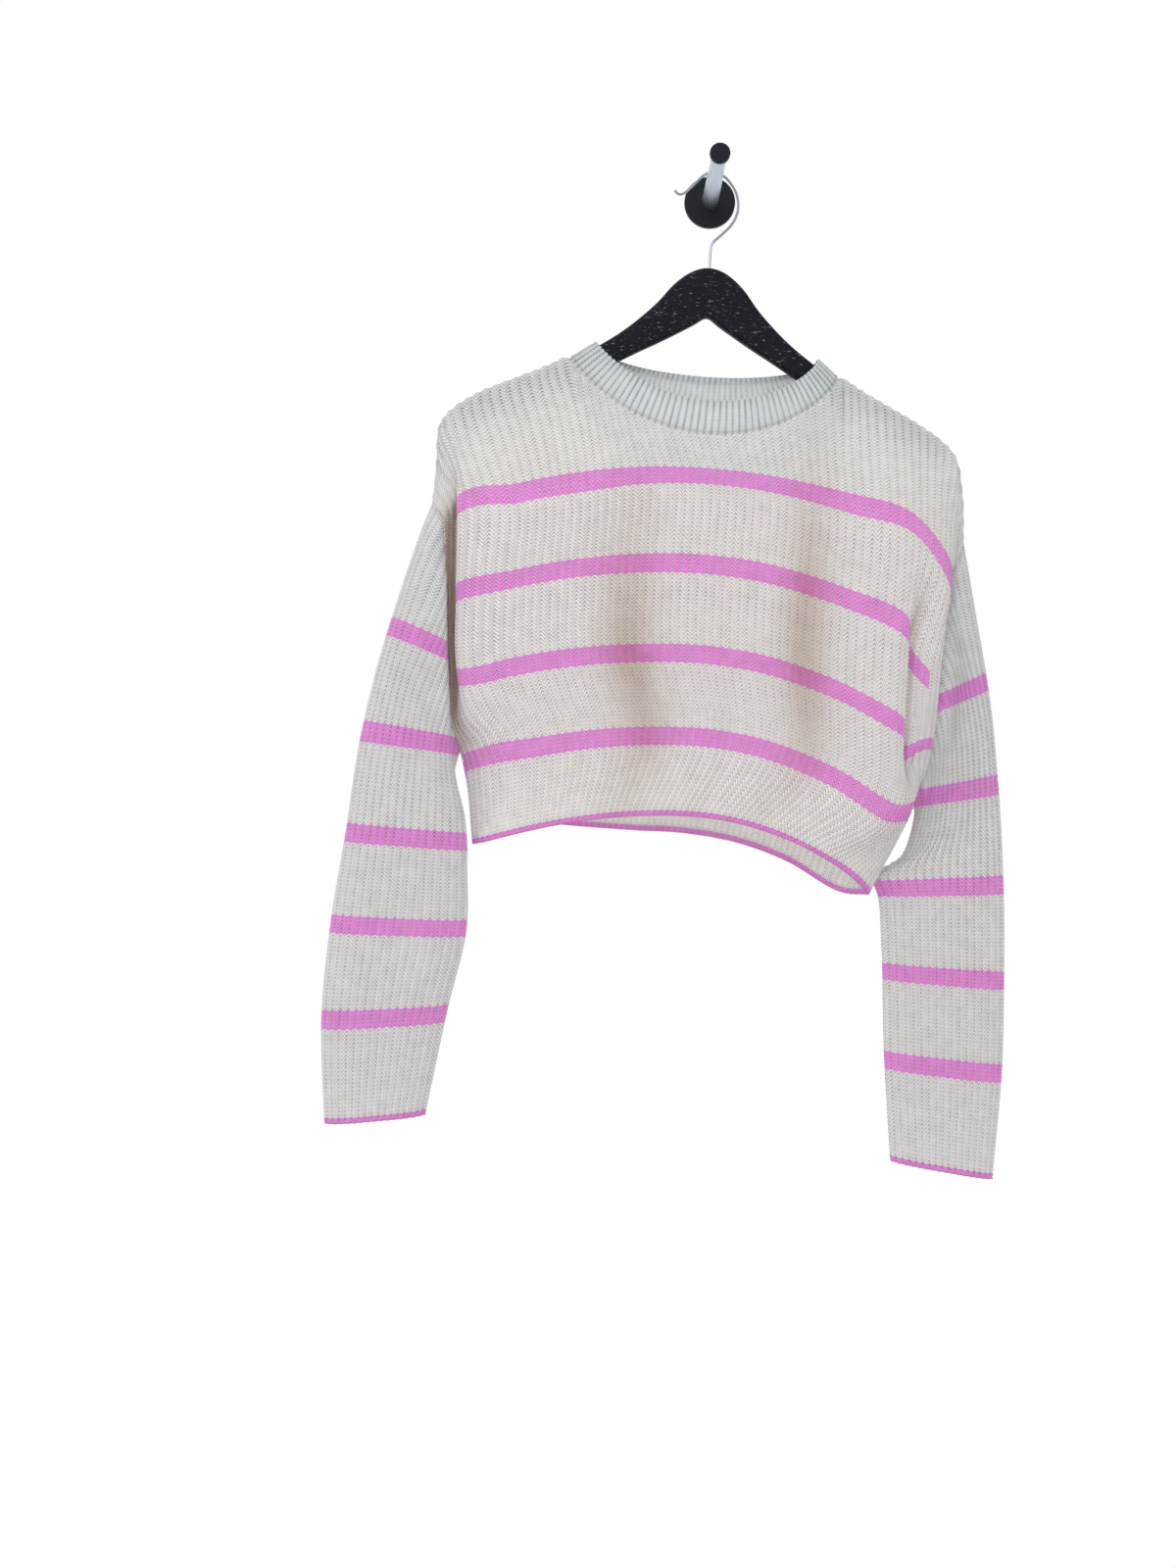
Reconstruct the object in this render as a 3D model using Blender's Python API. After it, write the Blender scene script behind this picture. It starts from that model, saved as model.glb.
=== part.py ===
"""A cropped rib-knit sweater on a wooden hanger, hung from a round wall peg.

The five knitted pieces (front, back, two sleeves, neckband) are ribbed walls with a plain inside.
Each is a surface worked out from lines down the cloth and the heights of its stripes, then given
its thickness.  Lengths in the tables are millimetres in the hanger's own frame: x to the right as
seen, y away from the viewer, z up from the middle of the wall plate.  "Left" is the viewer's left.
"""
import math
from collections import namedtuple
from functools import lru_cache

import bmesh
import bpy
import numpy as np
from mathutils import Matrix, Vector

for old in list(bpy.data.objects):
    bpy.data.objects.remove(old)

MM = 0.001

# The hanger hangs this far off the wall, turned a little on its hook.
HANG_DEPTH = -52.0
HANG_TURN = math.radians(5.5)

# The knit: a plain wall with ribs raised on its outside.
WALL_INSIDE = 1.6       # inner face, below the middle of the cloth
VALLEY = 0.4            # valley between two ribs, above the middle
CREST = 1.6             # top of a rib, above the middle
SEAM_GAP = 0.15         # half of the gap between two pieces at a seam
TURN_GAP = 0.6          # the same, where an armhole or neck seam turns sharply

BODY_RIBS = 68
SLEEVE_RIBS = 34
NECK_RIBS = 98
NECK_LEFT, NECK_RIGHT = 19, 49          # the neck is open between these ribs of front and back

# Rows of front and back are counted in stripes: 0 top edge, 1 to 4 the stripes, 5 the hem.
YOKE_ROW, ARMPIT_ROW, UNDERARM_ROW, HEM_ROW = 0.5, 3.5, 3.75, 5.0
# Rows of a sleeve: 0 the armhole, 1 to 5 its stripes, 6 the cuff.
ROLL_ROW, CUFF_ROW = 0.22, 6.0

Point = namedtuple("Point", "x y z")
Line = namedtuple("Line", "rib yoke stripe1 stripe2 stripe3 armpit underarm stripe4 hem")


def curve(knots, points, at):
    """Points on a smooth curve that passes through the given points at the given knots."""
    knots, points = np.asarray(knots, float), np.asarray(points, float)
    slopes = np.gradient(points, knots, axis=0)
    at = np.clip(np.asarray(at, float), knots[0], knots[-1])
    span = np.clip(np.searchsorted(knots, at, side="right") - 1, 0, len(knots) - 2)
    width = (knots[span + 1] - knots[span])[:, None]
    t = (at - knots[span])[:, None] / width
    start = (2 * t**3 - 3 * t**2 + 1) * points[span] + (t**3 - 2 * t**2 + t) * width * slopes[span]
    end = (3 * t**2 - 2 * t**3) * points[span + 1] + (t**3 - t**2) * width * slopes[span + 1]
    return start + end


def dome(x):
    """1 in the middle and 0 at both ends of -1..1."""
    return np.maximum(0.0, 1.0 - np.asarray(x, float) ** 2)


def unit(vectors):
    """Vectors of length 1."""
    return vectors / np.maximum(np.linalg.norm(vectors, axis=-1, keepdims=True), 1e-9)


# ------------------------------------------------------------------ shoulder seams and necklines
# The shoulder seams lie on top of the hanger and drop over its ends.
Shoulder = namedtuple("Shoulder", "rib x y z")
SHOULDER_LEFT = (
    Shoulder(0, -234.5, -7, -303),
    Shoulder(2.5, -233.0, -6, -268),
    Shoulder(4.5, -232.5, -3, -238),
    Shoulder(6, -227.0, 0, -226),
    Shoulder(8, -213.0, 0, -213),
    Shoulder(10, -197.5, 0, -203),
    Shoulder(13, -173.0, 0, -191.2),
    Shoulder(19, -121.0, 0, -167.2),
)
SHOULDER_RIGHT = (
    Shoulder(49, 121.0, 0, -166.4),
    Shoulder(55, 173.0, 0, -191.2),
    Shoulder(58.5, 201.0, 0, -205.2),
    Shoulder(60.5, 216.5, 0, -214.5),
    Shoulder(62.5, 231.5, -1, -229),
    Shoulder(65, 239.0, -5, -262),
    Shoulder(68, 244.0, -7, -308),
)
Neckline = namedtuple("Neckline", "drop depth")
FRONT_NECK, BACK_NECK = Neckline(67.0, -36.0), Neckline(30.0, 27.0)
NECK_DROP_SHAPE, NECK_DEPTH_SHAPE = 0.75, 0.42


def top_edge(ribs, neckline):
    """Top edge of the front or back: shoulder seam, neckline, shoulder seam."""
    left = curve([p.rib for p in SHOULDER_LEFT], [p[1:] for p in SHOULDER_LEFT], ribs)
    right = curve([p.rib for p in SHOULDER_RIGHT], [p[1:] for p in SHOULDER_RIGHT], ribs)
    across = np.clip((ribs - NECK_LEFT) / (NECK_RIGHT - NECK_LEFT), 0, 1)
    edge = left * (1 - across[:, None]) + right * across[:, None]
    open_neck = dome(2 * across - 1)
    edge[:, 1] += neckline.depth * open_neck**NECK_DEPTH_SHAPE
    edge[:, 2] -= neckline.drop * open_neck**NECK_DROP_SHAPE
    return edge


# ------------------------------------------------------------------ front and back panels
# A row for each height of a panel: its middle, how much lower its two sides hang, and the two
# places (lip and fold) where it turns away from the viewer.
PanelRow = namedtuple("PanelRow", "row mid_y mid_z drop_left drop_right left_x left_y right_x right_y")
FRONT_ROWS = (
    PanelRow(1, -38, -271.7, 40, 27, -208, -29, 187.0, -40),
    PanelRow(2, -39, -347.7, 37, 44, -205, -31, 185.5, -43),
    PanelRow(3, -39, -426.0, 32, 52, -199, -32, 185.5, -43),
    PanelRow(ARMPIT_ROW, -38, -462.0, 29, 55, -184, -30, 187.0, -42),
    PanelRow(UNDERARM_ROW, -38, -479.5, 26, 56, -174, -28, 186.0, -40),
    PanelRow(4, -38, -497.5, 26, 57, -168, -26, 180.0, -36),
    PanelRow(HEM_ROW, -38, -566.5, 27, 30, -160, -24, 122.0, -34),
)
BACK_ROWS = (
    PanelRow(1, 27, -287.0, 42, 38, -195, 18, 205.0, 21),
    PanelRow(2, 29, -365.0, 38, 48, -190, 17, 200.0, 22),
    PanelRow(3, 30, -441.0, 32, 54, -184, 16, 190.0, 20),
    PanelRow(ARMPIT_ROW, 30, -476.0, 32, 56, -179, 14, 184.0, 15),
    PanelRow(UNDERARM_ROW, 29, -494.0, 29, 56, -175, 12, 180.0, 12),
    PanelRow(4, 28, -512.0, 22, 54, -172, 11, 174.0, 9),
    PanelRow(HEM_ROW, 26, -583.0, -6, 46, -165, 7, 152.0, 6),
)
FRONT_TURNS, BACK_TURNS = (5, 57), (5, 63)          # ribs of the lip and the fold
PANEL_STEPS = (0.0, 0.12, 0.26, 0.4, 0.55, 0.7, 0.85, 1.0)

# A row for each line down the cloth beyond those turns: its rib, then its point at the yoke,
# at each stripe, at the underarm and at the hem.
FRONT_SEAM_LEFT = Line(0, Point(-226, -30, -322), Point(-222, -24, -350), Point(-219, -18, -394),
                       Point(-214, -17, -456), Point(-208, -15, -499), Point(-200, -6, -520),
                       Point(-195, -7, -537), Point(-184.5, -9, -601))
FRONT_CREASE = Line(2.5, Point(-217, -29, -304), Point(-213.5, -20, -338), Point(-209.5, -17, -392),
                    Point(-203.5, -17, -456), Point(-197, -17, -497), Point(-188, -16, -514),
                    Point(-183, -16, -531), Point(-173.5, -17.5, -598))
FRONT_GUSSET = Line(64.5, Point(233, -19, -290), Point(229, -22, -342), Point(225, -23, -438),
                    Point(221.5, -23, -491), Point(216, -21, -516), Point(210, -18, -531),
                    Point(204, -18, -553), Point(157, -22, -617))
FRONT_SEAM_RIGHT = Line(68, Point(237, -12, -326), Point(228, -9, -352), Point(223, -11, -440),
                        Point(219, -13, -490), Point(215, -13, -518), Point(208, -6, -536),
                        Point(202, -8, -559), Point(173, -9, -629))
BACK_SEAM_LEFT = Line(0, Point(-234, 2, -326), Point(-230, 6, -352), Point(-224, 7, -400),
                      Point(-216, 6, -460), Point(-208, 3, -501), Point(-200, -6, -520),
                      Point(-195, -7, -537), Point(-184.5, -9, -601))
BACK_SEAM_RIGHT = Line(68, Point(245, 2, -332), Point(240, 7, -358), Point(230, 10, -436),
                       Point(223, 10, -494), Point(216, 5, -519), Point(208, -6, -536),
                       Point(202, -8, -559), Point(173, -9, -629))

# Soft folds down a panel: middle rib, half width in ribs, depth at the top and at the hem.
Fold = namedtuple("Fold", "rib half_width top hem")
FRONT_FOLDS = (Fold(24, 6, 0.0, 3.0), Fold(45, 6, 0.6, 4.0), Fold(35, 2.5, 0.0, 1.6))
BACK_FOLDS = (Fold(18, 9, -3.0, -7.0), Fold(49, 10, -4.0, -8.0), Fold(33, 6, 2.0, 3.0))

# Over the hanger the cloth bends round its top edge before it hangs free: share of the way to
# the yoke that a neck column has gone by then, how far out, and how far down.
Bend = namedtuple("Bend", "row share out down")
OVER_HANGER = (Bend(0.07, 0.14, 6.2, 1.5), Bend(0.16, 0.32, 8.8, 8.5))
PAST_HANGER = 5                         # ribs at each end of the shoulder that the hanger stops short of
CORNER_SPREAD, CORNER_RIBS = 4.0, 3     # columns beside a neck corner lean this far away from it


def soft_folds(folds, ribs, row):
    """How far the folds push a panel away from the viewer at these ribs."""
    push = np.zeros(len(ribs))
    down = row / HEM_ROW
    for fold in folds:
        shape = dome(np.clip((ribs - fold.rib) / fold.half_width, -1, 1)) ** 2
        push += shape * (fold.top + (fold.hem - fold.top) * down)
    return push


def panel_row(panel, index, ribs):
    """Points across a panel at one of its tabled rows, from seam to seam."""
    row = panel.rows[index]
    turn_left, turn_right = panel.turns
    stations, points = [], []
    for line in panel.left:
        stations.append(line.rib)
        points.append(line[index + 2])
    for step in PANEL_STEPS:
        x = row.left_x + (row.right_x - row.left_x) * step
        side_x, side_y, drop = ((row.left_x, row.left_y, row.drop_left) if x < 0
                                else (row.right_x, row.right_y, row.drop_right))
        out = abs(x / side_x)
        stations.append(turn_left + (turn_right - turn_left) * step)
        points.append((x, row.mid_y + (side_y - row.mid_y) * out**4, row.mid_z - drop * out**2))
    for line in panel.right:
        stations.append(line.rib)
        points.append(line[index + 2])
    across = curve(stations, points, ribs)
    across[:, 1] += soft_folds(panel.folds, ribs, row.row)
    return across


def panel_yoke(panel, ribs):
    """Points across a panel at the yoke, half way from its top edge to its first stripe."""
    turn_left, turn_right = panel.turns
    stations = list(np.linspace(turn_left + 1, turn_right, 9))
    points = []
    for station in stations:
        at = np.array([station])
        half = (top_edge(at, panel.neckline) + panel_row(panel, 0, at)) / 2
        half[:, 1] += panel.toward * 4.0 * on_shoulder(at)[:, 0]
        points.append(half[0])
    stations = [line.rib for line in panel.left] + stations + [line.rib for line in panel.right]
    points = [line.yoke for line in panel.left] + points + [line.yoke for line in panel.right]
    return curve(stations, points, ribs)


def on_shoulder(ribs):
    """1 where a column starts over the hanger, 0 where it starts at the neck or at the armhole."""
    inside = np.minimum(ribs - NECK_LEFT, NECK_RIGHT - ribs)
    from_end = np.minimum(ribs, BODY_RIBS - ribs) / PAST_HANGER
    return (np.clip(1.0 - 2.0 * inside, 0, 1) * np.clip(from_end, 0, 1))[:, None]


def panel_surface(panel, ribs, rows):
    """Middle of a panel's cloth on a grid of ribs and rows, in the hanger's frame."""
    ribs, rows = np.asarray(ribs, float), np.asarray(rows, float)
    top = top_edge(ribs, panel.neckline)
    lower = [panel_row(panel, index, ribs) for index in range(len(panel.rows))]
    yoke = panel_yoke(panel, ribs)
    bent, shoulder = [], on_shoulder(ribs)
    lean = (np.clip(1 - abs(ribs - NECK_RIGHT) / CORNER_RIBS, 0, 1)
            - np.clip(1 - abs(ribs - NECK_LEFT) / CORNER_RIBS, 0, 1))
    for bend in OVER_HANGER:
        neck = top * (1 - bend.share) + yoke * bend.share
        over = top + np.array([0.0, panel.toward * bend.out, -bend.down])
        over[:, 0] += CORNER_SPREAD * lean
        bent.append(neck * (1 - shoulder) + over * shoulder)
    knots = [0.0] + [bend.row for bend in OVER_HANGER] + [YOKE_ROW] + [row.row for row in panel.rows]
    stack = np.array([top] + bent + [yoke] + lower)
    flat = curve(knots, stack.reshape(len(knots), -1), rows)
    return flat.reshape(len(rows), len(ribs), 3)


Panel = namedtuple("Panel", "name toward neckline rows turns left right folds")
FRONT = Panel("front", -1, FRONT_NECK, FRONT_ROWS, FRONT_TURNS, (FRONT_SEAM_LEFT, FRONT_CREASE),
              (FRONT_GUSSET, FRONT_SEAM_RIGHT), FRONT_FOLDS)
BACK = Panel("back", 1, BACK_NECK, BACK_ROWS, BACK_TURNS, (BACK_SEAM_LEFT,), (BACK_SEAM_RIGHT,),
             BACK_FOLDS)

# ------------------------------------------------------------------ sleeves
# A row for each stripe and for the cuff: the places and depth of a flattened tube there.  Rows
# near the armhole slope down to their inner edge, which hangs below the underarm.
SleeveRow = namedtuple("SleeveRow", "row outer_x outer_z inner_x inner_z mid_y depth")
SLEEVE_LEFT_ROWS = (
    SleeveRow(1, -266.0, -416, -207.5, -548.0, -20, 46),
    SleeveRow(2, -284.5, -509, -201.5, -583.0, -27, 38),
    SleeveRow(3, -293.5, -596, -192.0, -614.0, -30, 32),
    SleeveRow(4, -302.5, -674, -186.5, -673.5, -27, 30),
    SleeveRow(5, -306.0, -757, -199.5, -747.0, -25, 28),
    SleeveRow(CUFF_ROW, -299.0, -846, -213.5, -835.5, -23, 24),
)
SLEEVE_RIGHT_ROWS = (
    SleeveRow(1, 274.5, -430.5, 214.0, -564.0, 1, 24),
    SleeveRow(2, 291.5, -525.0, 206.0, -597.0, 5, 24),
    SleeveRow(3, 303.0, -616.0, 190.5, -629.0, 9, 26),
    SleeveRow(4, 307.5, -703.5, 194.0, -699.0, 7, 25),
    SleeveRow(5, 309.0, -787.5, 199.5, -779.0, 5, 24),
    SleeveRow(CUFF_ROW, 304.5, -883.5, 209.5, -870.0, 3, 22),
)
# How the cloth leaves the armhole seam, by rib: 0 the underarm, 17 the top of the armhole.
Roll = namedtuple("Roll", "rib x y z")
ROLL_LEFT = (Roll(0, -3, -3, -10), Roll(4, 0, -14, -14), Roll(9, 0, -18, -13), Roll(12, -1, -16, -14),
             Roll(14.5, -8, -9, -15), Roll(17, -7, -1, -20), Roll(20, -5, 3, -20),
             Roll(25, -5, 4, -17), Roll(30, -4, 3, -14), Roll(34, -3, -3, -10))
ROLL_RIGHT = (Roll(0, 3, 3, -10), Roll(4, 4, 0, -13), Roll(9, 10, -2, -13), Roll(12, 9, -3, -14),
              Roll(14.5, 6, -3, -20), Roll(17, 5, 0, -21), Roll(20, 6, 2, -20),
              Roll(25, 6, 2, -17), Roll(30, 4, 2, -14), Roll(34, 3, 3, -10))
# The outline of a flattened tube, from its outer edge (0) to its inner one (1): share of its
# half depth.
ROUND_SHARES = ((0.0, 0.0), (0.06, 0.55), (0.2, 0.9), (0.5, 1.0), (0.8, 0.9), (0.94, 0.55), (1.0, 0.0))
SleeveCut = namedtuple("SleeveCut", "name body_rib rows roll")
SLEEVE_LEFT = SleeveCut("sleeve_left", 0, SLEEVE_LEFT_ROWS, ROLL_LEFT)
SLEEVE_RIGHT = SleeveCut("sleeve_right", BODY_RIBS, SLEEVE_RIGHT_ROWS, ROLL_RIGHT)
HALF_SLEEVE = SLEEVE_RIBS / 2


def armhole_rows(panel, body_rib):
    """A panel's rows at which the ribs of the sleeve meet it, from underarm to armhole top."""
    fine = np.linspace(UNDERARM_ROW, 0, 200)
    line = panel_surface(panel, [body_rib], fine)[:, 0]
    run = np.concatenate([[0], np.cumsum(np.linalg.norm(np.diff(line, axis=0), axis=1))])
    return run / run[-1], fine


ARMHOLES = {(panel.name, sleeve.name): armhole_rows(panel, sleeve.body_rib)
            for panel in (FRONT, BACK) for sleeve in (SLEEVE_LEFT, SLEEVE_RIGHT)}


def armhole_row(panel, sleeve, rib):
    """The panel's row where this rib of the sleeve is sewn on."""
    share = np.minimum(rib, SLEEVE_RIBS - rib) / HALF_SLEEVE
    run, fine = ARMHOLES[panel.name, sleeve.name]
    return np.interp(share, run, fine)


def armhole(sleeve, ribs):
    """Points of the armhole seam at the ribs of the sleeve."""
    points = np.empty((len(ribs), 3))
    for index, rib in enumerate(ribs):
        panel = FRONT if rib <= HALF_SLEEVE else BACK
        row = armhole_row(panel, sleeve, rib)
        points[index] = panel_surface(panel, [sleeve.body_rib], [row])[0, 0]
    return points


def sleeve_ring(row, ribs):
    """Points round a sleeve at one of its tabled rows, its ribs evenly spread."""
    stations, points = [], []
    for face in (-1, 1):
        outline = np.array([(row.outer_x + (row.inner_x - row.outer_x) * share,
                             row.mid_y + face * bulge * row.depth / 2,
                             row.outer_z + (row.inner_z - row.outer_z) * share)
                            for share, bulge in ROUND_SHARES])
        run = np.concatenate([[0], np.cumsum(np.linalg.norm(np.diff(outline, axis=0), axis=1))])
        half = HALF_SLEEVE * (1 - run / run[-1])
        if face < 0:
            stations += list(half[::-1])
            points += list(outline[::-1])
        else:
            stations += list(SLEEVE_RIBS - half[1:])
            points += list(outline[1:])
    stations = [stations[-2] - SLEEVE_RIBS] + stations + [stations[1] + SLEEVE_RIBS]
    points = [points[-2]] + points + [points[1]]
    return curve(stations, points, ribs)


def sleeve_surface(sleeve, ribs, rows):
    """Middle of a sleeve's cloth on a grid of ribs (round the tube) and rows."""
    ribs = np.mod(np.asarray(ribs, float), SLEEVE_RIBS)
    top = armhole(sleeve, ribs)
    roll = top + curve([r.rib for r in sleeve.roll], [r[1:] for r in sleeve.roll], ribs)
    knots = [0.0, ROLL_ROW] + [row.row for row in sleeve.rows]
    stack = np.array([top, roll] + [sleeve_ring(row, ribs) for row in sleeve.rows])
    flat = curve(knots, stack.reshape(len(knots), -1), rows)
    return flat.reshape(len(rows), len(ribs), 3)


# ------------------------------------------------------------------ neckband
# A rib strip linked to both necklines; its free edge stands nearer the neck and higher.
BAND_EDGE_HALF, BAND_EDGE_MIDDLE, BAND_EDGE_Z = 100.0, 2.0, -151.0
BandEdge = namedtuple("BandEdge", "drop depth drop_shape")
FRONT_BAND, BACK_BAND = BandEdge(52.0, -33.0, 0.75), BandEdge(17.0, 23.0, 0.5)
BAND_BULGE = 1.5
HALF_BAND = NECK_RIBS / 2


def neck_run(panel):
    """How the ribs of the band are spread along a panel's neckline, by length."""
    fine = np.linspace(NECK_LEFT, NECK_RIGHT, 400)
    line = top_edge(fine, panel.neckline)
    run = np.concatenate([[0], np.cumsum(np.linalg.norm(np.diff(line, axis=0), axis=1))])
    return run / run[-1], fine


NECK_RUNS = {panel.name: neck_run(panel) for panel in (FRONT, BACK)}


def neck_rib(panel, rib):
    """The panel's rib where this rib of the band is linked on."""
    share = min(rib, NECK_RIBS - rib) / HALF_BAND
    return np.interp(share, *NECK_RUNS[panel.name])


def band_surface(ribs, rows):
    """Middle of the neckband on a grid; ribs run from the left shoulder over the front."""
    ribs = np.mod(np.asarray(ribs, float), NECK_RIBS)
    seam, edge = np.empty((len(ribs), 3)), np.empty((len(ribs), 3))
    for index, rib in enumerate(ribs):
        panel, cut = (FRONT, FRONT_BAND) if rib <= HALF_BAND else (BACK, BACK_BAND)
        at = np.array([neck_rib(panel, rib)])
        seam[index] = top_edge(at, panel.neckline)[0]
        across = 2 * (at[0] - NECK_LEFT) / (NECK_RIGHT - NECK_LEFT) - 1
        across = math.copysign(abs(across) ** 0.96, across)
        open_neck = float(dome(across))
        edge[index] = (BAND_EDGE_MIDDLE + BAND_EDGE_HALF * across,
                       cut.depth * open_neck**NECK_DEPTH_SHAPE,
                       BAND_EDGE_Z - cut.drop * open_neck**cut.drop_shape)
    outward = np.zeros_like(seam)
    outward[:, 1] = np.sign(seam[:, 1])
    rows = np.asarray(rows, float)[:, None, None]
    bulge = BAND_BULGE * 4 * rows * (1 - rows)
    return seam[None] * (1 - rows) + edge[None] * rows + outward[None] * bulge


# ------------------------------------------------------------------ normals and seams
NUDGE = 0.02


def directions(surface, ribs, rows):
    """Unit vectors along the ribs' numbering and down the rows, at a grid of a surface."""
    ribs, rows = np.asarray(ribs, float), np.asarray(rows, float)
    across = surface(ribs + NUDGE, rows) - surface(ribs - NUDGE, rows)
    down = surface(ribs, rows + NUDGE) - surface(ribs, rows - NUDGE)
    return unit(across), unit(down)


def normals(surface, ribs, rows, facing):
    """Outward unit normals at a grid of a surface; facing is 1 or -1."""
    across, down = directions(surface, ribs, rows)
    return unit(np.cross(down, across)) * facing


def panel_of(panel):
    """The panel's surface as a function of ribs and rows, held inside its edges."""
    def surface(ribs, rows):
        return panel_surface(panel, np.clip(ribs, 0, BODY_RIBS), np.clip(rows, 0, HEM_ROW))
    return surface


def sleeve_of(sleeve):
    """The sleeve's surface as a function of ribs and rows, held inside its ends."""
    def surface(ribs, rows):
        return sleeve_surface(sleeve, ribs, np.clip(rows, 0, CUFF_ROW))
    return surface


def band(ribs, rows):
    """The neckband's surface, held inside its two edges."""
    return band_surface(ribs, np.clip(rows, 0, 1))


def seam_frame(places):
    """The outward normal that the pieces meeting at a seam point share.

    places holds (surface, rib, row, facing) for each piece that meets there.
    """
    total = sum(normals(surface, [rib], [row], facing)[0, 0] for surface, rib, row, facing in places)
    return unit(total)


def inset(point, normal, inward, gap=SEAM_GAP):
    """A seam point moved into its own piece by half of the seam's gap."""
    flat = inward - normal * (inward @ normal)
    return point + unit(flat) * gap


FACING = {"front": 1, "back": -1, "sleeve_left": -1, "sleeve_right": 1, "neckband": -1}
SURFACES = {"front": panel_of(FRONT), "back": panel_of(BACK), "sleeve_left": sleeve_of(SLEEVE_LEFT),
            "sleeve_right": sleeve_of(SLEEVE_RIGHT), "neckband": band}
SIDE_ROWS = (4.2, 4.6, HEM_ROW)
UNDERARM_NORMAL = (0.0, 0.0, -1.0)      # where front, back and sleeve meet


def meets(name, rib, row):
    """A piece's place at a seam point, for seam_frame."""
    return SURFACES[name], rib, row, FACING[name]


@lru_cache(maxsize=None)
def shoulder_normal(rib):
    """Normal of the shoulder seam, where the sleeve or the band may join it."""
    places = [meets("front", rib, 0), meets("back", rib, 0)]
    if rib == 0:
        places.append(meets("sleeve_left", HALF_SLEEVE, 0))
    if rib == BODY_RIBS:
        places.append(meets("sleeve_right", HALF_SLEEVE, 0))
    if rib == NECK_LEFT:
        places.append(meets("neckband", 0, 0))
    if rib == NECK_RIGHT:
        places.append(meets("neckband", HALF_BAND, 0))
    return seam_frame(places)


def armhole_normal(sleeve, rib):
    """Normal of the armhole seam at a rib of the sleeve."""
    if rib == HALF_SLEEVE:
        return shoulder_normal(sleeve.body_rib)
    body, place = sleeve.body_rib, meets(sleeve.name, rib, 0)
    if rib == 0:
        return np.array(UNDERARM_NORMAL)
    panel = FRONT if rib < HALF_SLEEVE else BACK
    return seam_frame([place, meets(panel.name, body, float(armhole_row(panel, sleeve, rib)))])


def neck_normal(rib):
    """Normal of the neck seam at a rib of the band."""
    if rib in (0, HALF_BAND):
        return shoulder_normal(NECK_LEFT if rib == 0 else NECK_RIGHT)
    panel = FRONT if rib < HALF_BAND else BACK
    return seam_frame([meets("neckband", rib, 0), meets(panel.name, float(neck_rib(panel, rib)), 0)])


# ------------------------------------------------------------------ walls
class Wall:
    """A closed wall under construction: its vertices, and faces between lines of them."""

    def __init__(self):
        self.vertices, self.faces = [], []

    def line(self, points):
        """Adds points and gives their numbers."""
        first = len(self.vertices)
        self.vertices += [tuple(point) for point in points]
        return list(range(first, len(self.vertices)))

    def strip(self, one, two, at_one=None, at_two=None):
        """Triangles between two lines of points, always across the shorter diagonal, or in step
        where the positions along the lines are given."""
        i = j = 0
        while i < len(one) - 1 or j < len(two) - 1:
            across_one = across_two = math.inf
            if i < len(one) - 1:
                across_one = self.apart(one[i + 1], two[j]) if at_one is None else at_one[i + 1]
            if j < len(two) - 1:
                across_two = self.apart(one[i], two[j + 1]) if at_two is None else at_two[j + 1]
            if across_one <= across_two:
                self.faces.append((one[i], one[i + 1], two[j]))
                i += 1
            else:
                self.faces.append((one[i], two[j + 1], two[j]))
                j += 1

    def apart(self, a, b):
        """Distance between two of the vertices."""
        return math.dist(self.vertices[a], self.vertices[b])

    def grid(self, lines):
        """Two triangles for each cell between lines of equal length."""
        for one, two in zip(lines, lines[1:]):
            for a, b, c, d in zip(one, one[1:], two[1:], two):
                self.faces += [(a, b, c), (a, c, d)]

    def rim(self, outer, inner, turned):
        """A seam's rim, a cell for each turned; two rims that face each other are split alike."""
        for turn, a, b, c, d in zip(turned, outer, outer[1:], inner[1:], inner):
            self.faces += [(a, b, d), (b, c, d)] if turn else [(a, b, c), (a, c, d)]

    def build(self, name, material):
        """Makes the object, placed in the room, its faces pointing out."""
        mesh = bpy.data.meshes.new(name)
        mesh.from_pydata([(x * MM, y * MM, z * MM) for x, y, z in self.vertices], [], self.faces)
        shell = bmesh.new()
        shell.from_mesh(mesh)
        bmesh.ops.recalc_face_normals(shell, faces=shell.faces)
        shell.to_mesh(mesh)
        shell.free()
        return place(name, mesh, material)


def place(name, mesh, material):
    """Adds a mesh to the scene at the hanger's place in the room."""
    mesh.transform(Matrix.Translation(Vector((0, HANG_DEPTH * MM, 0))) @ Matrix.Rotation(HANG_TURN, 4, "Z"))
    mesh.materials.append(material)
    mesh.shade_smooth()
    mesh.set_sharp_from_angle(angle=math.radians(40))
    piece = bpy.data.objects.new(name, mesh)
    bpy.context.scene.collection.objects.link(piece)
    return piece


def paint(name, colour, roughness, metallic=0.0):
    """A plain material."""
    material = bpy.data.materials.new(name)
    material.use_nodes = True
    shader = material.node_tree.nodes["Principled BSDF"]
    shader.inputs["Base Color"].default_value = (*colour, 1)
    shader.inputs["Roughness"].default_value = roughness
    shader.inputs["Metallic"].default_value = metallic
    return material


def relief(ribs):
    """Height of the outer face above the middle of the cloth: a crest on each half rib."""
    return np.where(np.mod(ribs, 1.0) > 0.25, CREST, VALLEY)


PANEL_GRID_ROWS = (0.07, 0.16, 0.5, 1.0, 1.8, 2.6, 3.15, ARMPIT_ROW, UNDERARM_ROW, 4.3, HEM_ROW)
INSIDE_STEP = 2         # the plain inside has a line of points for every second rib


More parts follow.
